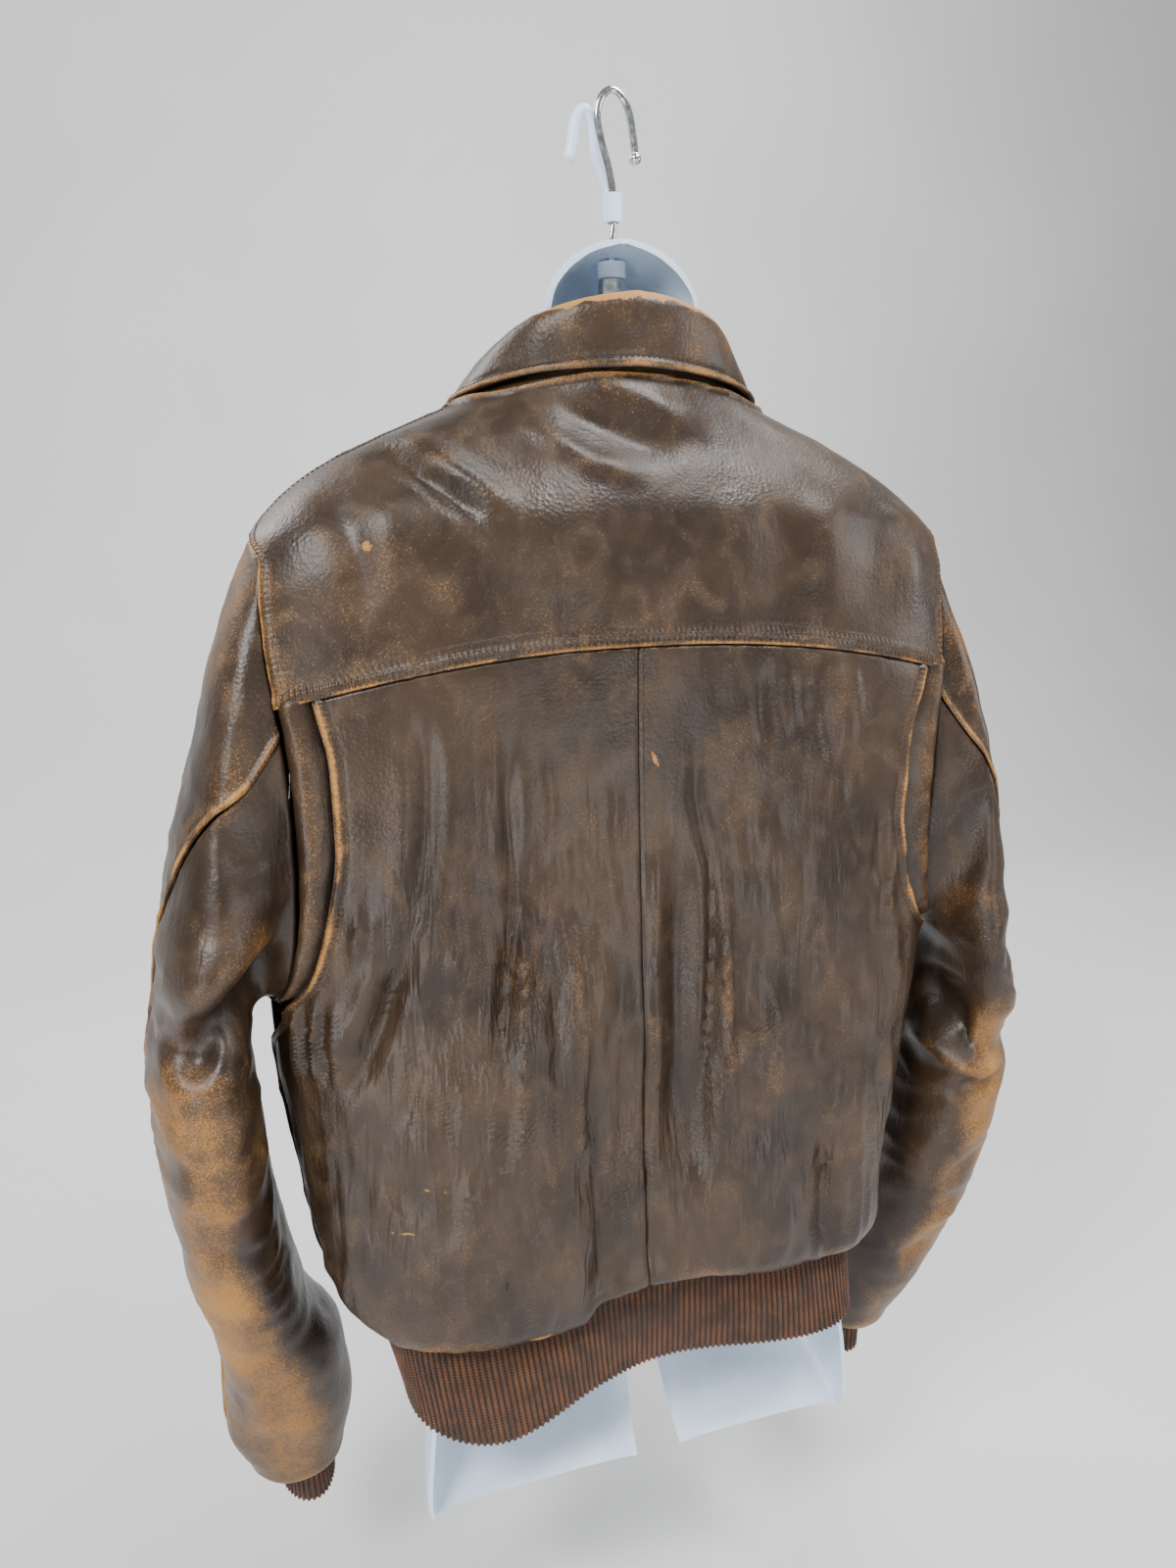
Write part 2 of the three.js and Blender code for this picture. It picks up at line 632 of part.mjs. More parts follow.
// Height of the stand, and where the leaf's edge lies on the torso, from the back to a front end.
const standHeight = through([0, 45, 80, 110, 176], [37, 31, 20, 15, 10]);
const leafStation = through([0, 60, 95, 130, 176], [675, 669, 662, 640, 614]);
const leafAngle = through([0, 110, 150, 176], [0, 108, 135, 148]);
const COLLAR_END = 174; // degrees from the back's middle to the collar's front end

// A point of the collar's outer surface: r 0 at the neck seam, 1 at the leaf's edge.
function collarPoint(turn, r) {
  const [deg, way] = [Math.abs(turn), Math.sign(turn) || 1];
  const angleOf = (d) => middle - way * radians(d);
  const foot = torsoSurface.point(angleOf(deg), NECK_STATION);
  const out = new THREE.Vector3(foot.x / 77, (foot.y - SIDE_Y) / 55, 0).normalize();
  const tall = standHeight(deg);
  const lean = 1 - deg / 360;
  const raised = (up, away) =>
    foot.clone().add(new THREE.Vector3(0, 0, up)).addScaledVector(out, away * lean);
  const at = [angleOf(leafAngle(deg)), leafStation(deg) - (way < 0 ? 6 * ease(deg / 60) : 0)];
  const edge = torsoSurface.point(...at);
  const n = torsoSurface.normal(...at);
  if (n.dot(fromTorsoAxis(edge)) < 0) n.negate();
  const backLift = 5 * (1 - ease(deg / 100));
  edge.addScaledVector(n, LIE_GAP + COLLAR_WALL + backLift);
  const keys = [
    raised(ARMHOLE_GAP, 0),
    raised(tall * 0.55, 1),
    raised(tall * 0.92, 3),
    raised(tall, 7.5),
    raised(tall * 0.86, 12.5),
    edge,
  ];
  const curve = new THREE.CatmullRomCurve3(keys, false, "centripetal");
  return curve.getPoint(r);
}

function collar() {
  const surface = {
    point: (turn, r) => collarPoint(turn, clamp01(r)),
    normal(turn, r) {
      return normalOf(this.point, turn, Math.min(0.995, Math.max(0.005, r)), 0.3, 0.004);
    },
  };
  const keys = [0, 0.2, 0.4, 0.5, 0.56, 0.62, 0.7, 0.84, 1];
  const spaced = through(keys.map((_, i) => i / (keys.length - 1)), keys);
  const place = (s, t) => [mix(-COLLAR_END, COLLAR_END, s), spaced(t)];
  // up the outside of the stand is inside the folded collar, so outward flips over the fold
  const grid = [];
  const [cols, rows] = [24, 8];
  for (let i = 0; i <= rows; i++) {
    const line = [];
    for (let j = 0; j <= cols; j++) line.push(place(j / cols, i / rows));
    grid.push(line);
  }
  const outer = grid.map((row) => row.map(([a, b]) => surface.point(a, b)));
  const inner = grid.map((row, i) =>
    row.map(([a, b], j) => {
      const n = surface.normal(a, b);
      const leafSide = normalOf(surface.point, a, 0.86, 0.3, 0.004);
      const outwards = leafSide.dot(fromTorsoAxis(surface.point(a, 0.86))) > 0 ? 1 : -1;
      return outer[i][j].clone().addScaledVector(n, -COLLAR_WALL * outwards);
    }),
  );
  return wall(outer, inner);
}

// ---------------------------------------------------------------- zip

const ZIP_TOP_STATION = 668;
const CHAIN_HALF = 3;

// The zip's line on the centre front: 0 at the waistband's lower edge, 1 at the neck.
function zipLine(t) {
  const turnOver = 0.12;
  if (t < turnOver) return bandSurface.point(-middle, 1 - (t / turnOver) * 0.75);
  return torsoSurface.point(-middle, mix(22, ZIP_TOP_STATION, (t - turnOver) / (1 - turnOver)));
}
const zipCurve = new THREE.CatmullRomCurve3(
  Array.from({ length: 19 }, (_, i) => zipLine(i / 18)),
  false,
  "centripetal",
);

// A flat strip along the zip's line, from x0 to x1, between two depths behind the line.
function zipStrip(x0, x1, front, back, steps) {
  const outer = [];
  const inner = [];
  for (let i = 0; i <= steps; i++) {
    const p = zipCurve.getPointAt(i / steps);
    const along = zipCurve.getTangentAt(i / steps);
    const out = new THREE.Vector3(0, -along.z, along.y);
    const row = (depth) => [x0, x1].map((x) => p.clone().addScaledVector(out, -depth).setX(x));
    outer.push(row(front));
    inner.push(row(back));
  }
  return wall(outer, inner);
}

const SLIDER = { width: 10, tall: 13, deep: 3.4, at: 0.962, lift: 1.6 };
const PIN = { radius: 1, high: 3.2, wide: 9.4 };
const POST = { inside: 3.2, outside: 4.7, tall: 3.2 };
const TAB = { width: 8, neck: 5, tall: 26, deep: 1.6, barrel: 2.3, bore: 1.35 };

// A frame on the zip's line for the slider: its own x is across, y runs up the zip, z points out.
function sliderFrame() {
  const p = zipCurve.getPointAt(SLIDER.at);
  const up = zipCurve.getTangentAt(SLIDER.at);
  const right = new THREE.Vector3(1, 0, 0);
  const out = right.clone().cross(up).normalize();
  const frame = new THREE.Matrix4().makeBasis(right, up, out);
  return frame.setPosition(p.addScaledVector(out, SLIDER.lift));
}

const block = (x, y, z, w, h, d) => new THREE.BoxGeometry(w, h, d).translate(x, y, z);

const across = (radius, wide, z) =>
  new THREE.CylinderGeometry(radius, radius, wide, 14).rotateZ(Math.PI / 2).translate(0, 0, z);

function slider() {
  const plate = new THREE.Shape();
  plate.moveTo(-SLIDER.width / 2, SLIDER.tall / 2 - 1.5).lineTo(-SLIDER.width / 2 + 1.6, -SLIDER.tall / 2);
  plate.lineTo(SLIDER.width / 2 - 1.6, -SLIDER.tall / 2).lineTo(SLIDER.width / 2, SLIDER.tall / 2 - 1.5);
  plate.lineTo(1.5, SLIDER.tall / 2).lineTo(-1.5, SLIDER.tall / 2);
  const body = new THREE.ExtrudeGeometry(plate, { depth: SLIDER.deep, bevelEnabled: false });
  const axis = SLIDER.deep + PIN.high;
  let solid = toSolid(body);
  for (const side of [1, -1]) {
    const x = (side * (POST.inside + POST.outside)) / 2;
    const height = axis + PIN.radius + 0.6 - 1;
    const post = block(x, 0, 1 + height / 2, POST.outside - POST.inside, POST.tall, height);
    solid = solid.add(toSolid(post));
  }
  return fromSolid(solid.add(toSolid(across(PIN.radius, PIN.wide, axis)))).applyMatrix4(sliderFrame());
}

function pullTab() {
  const axis = SLIDER.deep + PIN.high;
  const shape = new THREE.Shape();
  const [neck, wide] = [TAB.neck / 2, TAB.width / 2];
  shape.moveTo(-neck, 0).lineTo(-neck, -6).lineTo(-wide, -10).lineTo(-wide, -TAB.tall + 3);
  shape.lineTo(-wide + 3, -TAB.tall).lineTo(wide - 3, -TAB.tall).lineTo(wide, -TAB.tall + 3);
  shape.lineTo(wide, -10).lineTo(neck, -6).lineTo(neck, 0);
  const hole = new THREE.Path();
  hole.absarc(0, -TAB.tall + 6, 2, 0, 2 * Math.PI, true);
  shape.holes.push(hole);
  const plate = new THREE.ExtrudeGeometry(shape, { depth: TAB.deep, bevelEnabled: false, curveSegments: 5 });
  plate.translate(0, 0, axis - TAB.deep / 2);
  const solid = toSolid(plate).add(toSolid(across(TAB.barrel, TAB.neck, axis)));
  return fromSolid(solid.subtract(toSolid(across(TAB.bore, 20, axis)))).applyMatrix4(sliderFrame());
}

// ---------------------------------------------------------------- booleans

function toSolid(geometry) {
  const plain = geometry.clone();
  plain.deleteAttribute("normal");
  plain.deleteAttribute("uv");
  const merged = mergeVertices(plain, 1e-4);
  return new wasm.Manifold(
    new wasm.Mesh({
      numProp: 3,
      vertProperties: merged.attributes.position.array,
      triVerts: new Uint32Array(merged.index.array),
    }),
  );
}

function fromSolid(solid) {
  const mesh = solid.getMesh();
  const geometry = new THREE.BufferGeometry();
  geometry.setAttribute("position", new THREE.BufferAttribute(mesh.vertProperties, 3));
  geometry.setIndex(new THREE.BufferAttribute(mesh.triVerts, 1));
  return geometry;
}

// ---------------------------------------------------------------- the hanging form

// One row per height: half width, depth of the front from the rim, and the rim's own depth.
const formShape = sections(
  ["half", "deep", "rim", "square"],
  [
    [-94, 161, 12, 79, 4.0],
    [-80, 163, 34, 82, 3.6],
    [-40, 160, 74, 82, 3.2],
    [20, 152, 104, 77, 3.0],
    [60, 149, 118, 70, 2.9],
    [110, 150, 130, 66, 2.8],
    [200, 156, 146, 68, 2.6],
    [320, 180, 168, 70, 2.6],
    [420, 200, 164, 66, 2.6],
    [500, 205, 136, 60, 2.5],
    [548, 198, 106, 50, 2.4],
    [580, 168, 88, 42, 2.3],
    [610, 124, 74, 36, 2.2],
    [640, 80, 68, 26, 2.1],
    [664, 59, 64, 20, 2.0],
    [690, 55, 65, 23, 2.0],
    [716, 50, 63, 24, 2.0],
    [732, 41, 54, 24, 2.0],
    [743, 28, 37, 24, 2.0],
    [748, 16, 21, 24, 2.0],
    [751, 2, 3, 24, 2.0],
  ],
);
const FORM_FOOT = -94;
const FORM_TOP = 751;
const NOTCH = { x: -11, half: 13, flare: 6, top: -38 };
const BOSS = { radius: 9, low: 731, high: 741 };
const NUT = { radius: 8.6, low: 720, high: 730.6 };
const formCentreX = (z) => FORM_X * ease((z - 560) / 120);

function formPoint(s, z) {
  const w = Math.PI * clamp01(s);
  const n = formShape.square(z);
  const [c, k] = [Math.cos(w), Math.sin(w)];
  const reach = (Math.abs(c) ** n + Math.abs(k) ** n) ** (-1 / n);
  const x = formShape.half(z) * reach * c;
  const thighs = ease((60 - z) / 110) * 0.45 * Math.exp(-(((x - NOTCH.x) / 26) ** 2));
  const y = formShape.rim(z) - formShape.deep(z) * reach * k * (1 - thighs);
  return new THREE.Vector3(x + formCentreX(z), y, z);
}

const FORM_HEIGHTS = [-94, -80, -60, -35, -5, 40, 90, 150, 210, 280, 350, 420, 470, 510, 540,
  564, 586, 606, 624, 644, 666, 690, 714, 730, 741, 747, FORM_TOP];

function cylinder(radius, x, y, low, high, sides) {
  const geometry = new THREE.CylinderGeometry(radius, radius, high - low, sides);
  return geometry.rotateX(Math.PI / 2).translate(x, y, (low + high) / 2);
}

function formShell() {
  const cols = 26;
  const outer = FORM_HEIGHTS.map((z) =>
    Array.from({ length: cols + 1 }, (_, j) => formPoint(j / cols, z)));
  const inner = outer.map((row, i) => {
    const z = FORM_HEIGHTS[i];
    const centre = new THREE.Vector3(formCentreX(z), formShape.rim(z), z);
    const narrower = 1 - SHELL / Math.max(formShape.half(z), 12);
    const shallower = 1 - SHELL / Math.max(formShape.deep(z), 12);
    const drop = SHELL * ease((z - 716) / 26);
    return row.map((p) => {
      const q = p.clone().sub(centre);
      return new THREE.Vector3(q.x * narrower, q.y * shallower, -drop).add(centre);
    });
  });
  const notch = new THREE.Shape();
  notch.moveTo(-NOTCH.half - NOTCH.flare, FORM_FOOT - 20);
  notch.lineTo(NOTCH.half + NOTCH.flare, FORM_FOOT - 20);
  notch.absarc(0, NOTCH.top - NOTCH.half, NOTCH.half, 0, Math.PI);
  const cutter = new THREE.ExtrudeGeometry(notch, { depth: 400, bevelEnabled: false, curveSegments: 8 });
  cutter.rotateX(Math.PI / 2).translate(NOTCH.x, 200, 0);
  const boss = cylinder(BOSS.radius, FORM_X, 0, BOSS.low, BOSS.high, 20);
  const bore = cylinder(HOOK_WIRE + 0.3, FORM_X, 0, 600, 800, 12);
  const shell = toSolid(wall(outer, inner)).subtract(toSolid(cutter));
  return fromSolid(shell.add(toSolid(boss)).subtract(toSolid(bore)));
}

function nut() {
  const body = cylinder(NUT.radius, FORM_X, 0, NUT.low, NUT.high, 6);
  const bore = cylinder(HOOK_WIRE + 0.3, FORM_X, 0, 600, 800, 12);
  return fromSolid(toSolid(body).subtract(toSolid(bore)));
}

// ---------------------------------------------------------------- hooks

// A round rod along a smooth line.
function rod(places, radius, steps) {
  const line = new THREE.CatmullRomCurve3(
    places.map(([x, y, z]) => new THREE.Vector3(x, y, z)),
    false,
    "centripetal",
  );
  const section = new THREE.Shape();
  section.absarc(0, 0, radius, 0, 2 * Math.PI);
  return new THREE.ExtrudeGeometry(section, { steps, extrudePath: line, curveSegments: 5 });
}

const STEEL_HOOK = [[-8, 0, 708], [-8, 0, 735], [-8, 0, 753], [-10, 0, 772], [-7, 0, 795],
  [-1.3, 0, 814], [0.9, 0, 828], [-2.4, 0, 838], [-9, 0, 842.4], [-15.8, 0, 839],
  [-20.2, 0, 831], [-23.6, 0, 814], [-24.6, 0, 806]];
const BALL = 3.8;
const WHITE_HOOK = [[-9, -4.4, 777], [-7.6, -6.8, 787], [-4, -7.2, 797], [-0.8, -7.2, 806],
  [0, -7.2, 816], [1.6, -7.2, 826], [7, -7.2, 832], [12, -7.2, 827], [15, -7.2, 813], [18, -7.2, 800]];
const WHITE_ROD = 3.6;
const WHITE_GRIP = { x: -9.2, radius: 6.4, bore: 3.9, low: 765, high: 782 };

function steelHook() {
  const [x, y, z] = STEEL_HOOK.at(-1);
  const ball = new THREE.SphereGeometry(BALL, 14, 10).translate(x, y, z - BALL * 0.6);
  return fromSolid(toSolid(rod(STEEL_HOOK, HOOK_WIRE, 40)).add(toSolid(ball)));
}

function whiteHook() {
  const [x, y, z] = WHITE_HOOK.at(-1);
  const end = new THREE.SphereGeometry(WHITE_ROD * 1.04, 12, 8).translate(x, y, z);
  const grip = cylinder(WHITE_GRIP.radius, WHITE_GRIP.x, 0, WHITE_GRIP.low, WHITE_GRIP.high, 16);
  const clear = cylinder(WHITE_GRIP.bore, WHITE_GRIP.x, 0, 700, 786, 14);
  const joined = toSolid(rod(WHITE_HOOK, WHITE_ROD, 26)).add(toSolid(end)).add(toSolid(grip));
  return fromSolid(joined.subtract(toSolid(clear)));
}

export const group = new THREE.Group();

const PAINT = {
  leather: new THREE.MeshStandardMaterial({ color: 0x4a3626, roughness: 0.45, metalness: 0 }),
  knit: new THREE.MeshStandardMaterial({ color: 0x5a3018, roughness: 0.9, metalness: 0 }),
  white: new THREE.MeshStandardMaterial({ color: 0xe4eaf2, roughness: 0.35, metalness: 0 }),
  steel: new THREE.MeshStandardMaterial({ color: 0xb8bcc0, roughness: 0.2, metalness: 1 }),
  brass: new THREE.MeshStandardMaterial({ color: 0x8a744a, roughness: 0.4, metalness: 1 }),
  tape: new THREE.MeshStandardMaterial({ color: 0x33261c, roughness: 0.9, metalness: 0 }),
};

function add(name, geometry, material, parent = garment) {
  const mesh = new THREE.Mesh(geometry, material);
  mesh.name = name;
  parent.add(mesh);
  return mesh;
}

const garment = new THREE.Group();
garment.position.set(-HOOK_X, 0, -HANG_Z);
group.add(garment);

add("yoke", yoke(), PAINT.leather);
for (const [word, side] of [["left", 1], ["right", -1]]) {
  add(`back_${word}`, backPanel(side), PAINT.leather);
  add(`pleat_${word}`, pleat(side), PAINT.leather);
  add(`front_${word}`, front(side), PAINT.leather);
  add(`sleeve_top_${word}`, sleevePiece(side, true), PAINT.leather);
  add(`sleeve_under_${word}`, sleevePiece(side, false), PAINT.leather);
  add(`cuff_${word}`, cuff(side), PAINT.knit);
}
add("collar", collar(), PAINT.leather);
add("waistband", waistband(), PAINT.knit);
for (const [word, side] of [["left", 1], ["right", -1]])
  add(`zip_tape_${word}`, zipStrip(side * 0.4, side * 6.4, 0.9, 2.3, 18), PAINT.tape);
add("zip_slider", slider(), PAINT.brass);
add("zip_pull_tab", pullTab(), PAINT.brass);
add("form_shell", formShell(), PAINT.white);
add("hook_nut", nut(), PAINT.steel);
add("hook_steel", steelHook(), PAINT.steel);
add("hook_white", whiteHook(), PAINT.white);

export default group;
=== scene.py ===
"""A worn leather blouson with a knitted waistband and cuffs, on a hollow-backed hanging torso form.

Everything is worked out in the garment's own frame, in millimetres: x 0 is the back's middle seam,
+x the wearer's left, -y the front, +y the back, and z 0 the waistband's lower edge. SHIFT and MM
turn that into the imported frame. Each sewn piece is a thin shell on its own surface, with its
creases, rolled edges and topstitched bands as relief on it.
"""
import logging
import math
from collections.abc import Callable, Sequence
from dataclasses import dataclass, field
from enum import Enum

import bmesh
import bpy
import numpy as np
from mathutils import Matrix, Vector


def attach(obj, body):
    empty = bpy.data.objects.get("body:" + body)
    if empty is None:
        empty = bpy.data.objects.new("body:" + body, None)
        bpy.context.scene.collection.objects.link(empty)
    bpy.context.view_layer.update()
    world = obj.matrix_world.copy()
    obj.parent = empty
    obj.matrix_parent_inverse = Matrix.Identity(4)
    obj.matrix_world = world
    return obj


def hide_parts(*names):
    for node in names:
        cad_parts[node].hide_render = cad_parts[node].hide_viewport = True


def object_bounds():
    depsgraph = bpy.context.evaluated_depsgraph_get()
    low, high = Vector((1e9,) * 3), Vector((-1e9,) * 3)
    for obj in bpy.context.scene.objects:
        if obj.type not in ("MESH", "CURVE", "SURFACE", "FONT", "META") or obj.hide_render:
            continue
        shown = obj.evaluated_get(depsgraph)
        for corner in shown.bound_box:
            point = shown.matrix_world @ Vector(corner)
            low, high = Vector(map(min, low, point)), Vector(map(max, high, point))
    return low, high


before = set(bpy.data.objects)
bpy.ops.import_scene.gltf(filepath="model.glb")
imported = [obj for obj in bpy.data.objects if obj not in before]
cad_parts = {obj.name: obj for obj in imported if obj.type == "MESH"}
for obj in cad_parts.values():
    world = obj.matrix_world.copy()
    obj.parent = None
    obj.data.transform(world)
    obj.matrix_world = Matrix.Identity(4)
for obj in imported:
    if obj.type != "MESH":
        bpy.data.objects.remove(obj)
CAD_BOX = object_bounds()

Array = np.ndarray
Curve = Callable[[Array], Array]
Line = tuple[tuple[float, float], ...]
Pair = tuple[Array, Array]
Values = tuple[Array, Array, Array]
Triple = tuple[float, float, float]
Object, Material, Socket = bpy.types.Object, bpy.types.Material, bpy.types.NodeSocket
log = logging.getLogger("blouson")

MM = 0.001
SHIFT = np.array([9.0, 0.0, -840.0])  # from the garment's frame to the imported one
JACKET = "jacket"  # the body of everything but the pull tab
SIDES = (("left", 1), ("right", -1))  # each side's word, and the way that its x runs
MIDDLE = math.pi / 2  # the angle of the back's middle
SIDE_Y = -2.0  # the y of the body's rings at their widest
NECK_STATION, SHOULDER_TIP = 690, 550  # stations of the neck's seam and the shoulder's tip
YOKE_Z, YOKE_DROP, YOKE_HALF = 504, 29, 225  # the yoke seam's height, its fall and its half width
PLEAT_TOP = 206  # where the back's raised seam meets the yoke
ZIP_HALF = 7  # from the front's middle to each front's edge
HEM_TURN, FOLD_SHARE = 40, 0.22  # stations in the hem's fold, and their share of a panel's rows
CORNER_SHARE = 5 / 9  # how far up the back's armhole the yoke's corner is
UNDERARM_TURN = 0.07  # share of a panel's height over which its edge turns at the underarm
SEAM_X, SEAM_ANGLE = 10.5, math.pi / 2 - 0.0455  # the middle seam hangs a little to the left
LEATHER, KNIT = 1.5, 2.2  # wall thicknesses
SEAM_GAP = 0.12  # by which each piece is held back from its side seams


# ------------------------------------------------------------------ small mathematics

def clamp(t: Array) -> Array:
    """t, kept from 0 to 1."""
    return np.clip(t, 0.0, 1.0)


def ease(t: Array) -> Array:
    """A smooth step from 0 to 1."""
    c = clamp(t)
    return c * c * (3 - 2 * c)


def mix(a: Array, b: Array, t: Array) -> Array:
    """From a at t 0 to b at t 1."""
    return a + (b - a) * t


def bell(away: Array, width: float) -> Array:
    """A gaussian, 1 in its middle and 1/e at its half width."""
    return np.exp(-((away / width) ** 2))


def squared(c: Array, s: Array, n: Array) -> Array:
    """How far a superellipse of power n reaches, against a circle, at a cosine and a sine."""
    return (np.abs(c) ** n + np.abs(s) ** n) ** (-1 / n)


def unit(v: Array) -> Array:
    """Vectors of length 1 along the last axis."""
    return v / np.maximum(np.linalg.norm(v, axis=-1, keepdims=True), 1e-9)


def through(at: Sequence[float], value: Sequence[float]) -> Curve:
    """A monotone cubic through key values.

    Args:
        at: The places of the keys, rising.
        value: The value at each key.

    Returns:
        The curve, as a function of arrays.
    """
    at, value = np.asarray(at, float), np.asarray(value, float)
    slope = np.diff(value) / np.diff(at)
    tangent = np.concatenate([slope[:1], np.zeros(len(at) - 2), slope[-1:]])
    product, total = slope[:-1] * slope[1:], slope[:-1] + slope[1:]
    tangent[1:-1] = np.where(product > 0, 2 * product / np.where(total == 0, 1, total), 0)

    def curve(x: Array) -> Array:
        """The curve's value at x."""
        x = np.asarray(x, float)
        i = np.clip(np.searchsorted(at, x, side="left") - 1, 0, len(at) - 2)
        h = at[i + 1] - at[i]
        t = (x - at[i]) / h
        t2, t3 = t * t, t * t * t
        low = (2 * t3 - 3 * t2 + 1) * value[i] + (t3 - 2 * t2 + t) * h * tangent[i]
        return low + (-2 * t3 + 3 * t2) * value[i + 1] + (t3 - t2) * h * tangent[i + 1]

    return curve


def sections(columns: str, rows: Sequence[Sequence[float]]) -> dict[str, Curve]:
    """One curve for each named column of a table of key sections, along its first column."""
    table = np.array(rows, float)
    return {name: through(table[:, 0], table[:, i + 1]) for i, name in enumerate(columns.split())}


def stretches(*parts: tuple[float, float, int]) -> Array:
    """Even steps through stretches that follow one another, each a start, an end and a count."""
    steps = [np.linspace(*part) for part in parts]
    return np.concatenate([step[:-1] for step in steps[:-1]] + steps[-1:])


def normals_of(point: Callable, a: Array, b: Array, da: float, db: float) -> Array:
    """Unit normals of a surface, from small steps of da and db."""
    along = point(a + da, b) - point(a - da, b)
    up = point(a, b + db) - point(a, b - db)
    return unit(np.cross(along, up))


def catmull_rom(keys: Array, r: Array) -> Array:
    """A centripetal Catmull-Rom curve through keys.

    Args:
        keys: Key points, (keys, ..., 3).
        r: Places along the curve, from 0 to 1.

    Returns:
        The points, (len(r), ..., 3).
    """
    before, after = 2 * keys[:1] - keys[1:2], 2 * keys[-1:] - keys[-2:-1]
    padded = np.concatenate([before, keys, after])
    place = np.clip(np.asarray(r, float), 0, 1) * (len(keys) - 1)
    i = np.minimum(place.astype(int), len(keys) - 2)
    w = (place - i).reshape((-1,) + (1,) * (keys.ndim - 1))
    x0, x1, x2, x3 = (padded[i + k] for k in range(4))
    step = [np.maximum(np.linalg.norm(q - p, axis=-1, keepdims=True), 1e-4) ** 0.5
            for p, q in ((x0, x1), (x1, x2), (x2, x3))]
    t1 = (x1 - x0) / step[0] - (x2 - x0) / (step[0] + step[1]) + (x2 - x1) / step[1]
    t2 = (x2 - x1) / step[1] - (x3 - x1) / (step[1] + step[2]) + (x3 - x2) / step[2]
    t1, t2 = t1 * step[1], t2 * step[1]
    c2, c3 = -3 * x1 + 3 * x2 - 2 * t1 - t2, 2 * x1 - 2 * x2 + t1 + t2
    return x1 + w * (t1 + w * (c2 + w * c3))


class Noise:
    """Smooth seeded noise in space, about -1 to 1."""

    def __init__(self, seed: int) -> None:
        rng = np.random.default_rng(seed)
        self.order = np.tile(rng.permutation(256), 3)
        self.slopes = unit(rng.normal(size=(256, 3)))

    def __call__(self, p: Array) -> Array:
        """The noise at points p, (..., 3), with features about 1 apart."""
        cell = np.floor(p).astype(int)
        f = p - cell
        w = f * f * f * (f * (f * 6 - 15) + 10)
        total = np.zeros(p.shape[:-1])
        for corner in np.ndindex(2, 2, 2):
            c = (cell + corner) & 255
            turn = self.order[self.order[self.order[c[..., 0]] + c[..., 1]] + c[..., 2]]
            value = (self.slopes[turn] * (f - corner)).sum(-1)
            share = np.where(np.array(corner, bool), w, 1 - w)
            total += value * share.prod(-1)
        return total * 1.6


SOFT, CRUMPLE, TINY = Noise(11), Noise(23), Noise(37)


# ------------------------------------------------------------------ folds

@dataclass(frozen=True)
class Fold:
    """A soft ridge (height over 0) or trough (height under 0) along places in the x-z view."""

    line: Line
    width: float
    height: float
    taper: float = 0.3  # share of its length over which each end fades

    def lift(self, x: Array, z: Array) -> Array:
        """How far the fold lifts the cloth at x, z."""
        keys = np.array(self.line, float)
        lengths = np.hypot(*np.diff(keys, axis=0).T)
        starts = np.concatenate([[0], np.cumsum(lengths)])
        best, place = np.full(x.shape, 1e9), np.zeros(x.shape)
        for a, b, length, start in zip(keys[:-1], keys[1:], lengths, starts):
            d = b - a
            t = clamp(((x - a[0]) * d[0] + (z - a[1]) * d[1]) / (length * length))
            away = np.hypot(x - a[0] - t * d[0], z - a[1] - t * d[1])
            nearer = away < best
            best = np.where(nearer, away, best)
            place = np.where(nearer, (start + t * length) / starts[-1], place)
        fade = ease(place / self.taper) * ease((1 - place) / self.taper)
        return self.height * fade * bell(best, self.width)


def crinkles(seed: int, count: int, box: tuple[float, float, float, float], lean: float,
             length: float, width: float, height: float) -> tuple[Fold, ...]:
    """Short folds scattered in a box of the x-z view.

    Args:
        seed: Seed of their places.
        count: How many.
        box: Lowest x, lowest z, highest x and highest z.
        lean: How far the top leans along x, for each mm of height.
        length: Their mean length.
        width: Their mean half width.
        height: Their mean height, up or down.

    Returns:
        The folds.
    """
    rng = np.random.default_rng(seed)
    made = []
    for _ in range(count):
        x, z = rng.uniform(box[0], box[2]), rng.uniform(box[1], box[3])
        run = length * rng.uniform(0.5, 1.5)
        tilt = lean + rng.normal(0, 0.1)
        bend = rng.normal(0, 0.04) * run
        line = ((x, z), (x + tilt * run / 2 + bend, z + run / 2), (x + tilt * run, z + run))
        sign = rng.choice([-1, 1])
        half_width = width * rng.uniform(0.7, 1.4)
        made.append(Fold(line, half_width, sign * height * rng.uniform(0.5, 1.3), 0.45))
    return tuple(made)


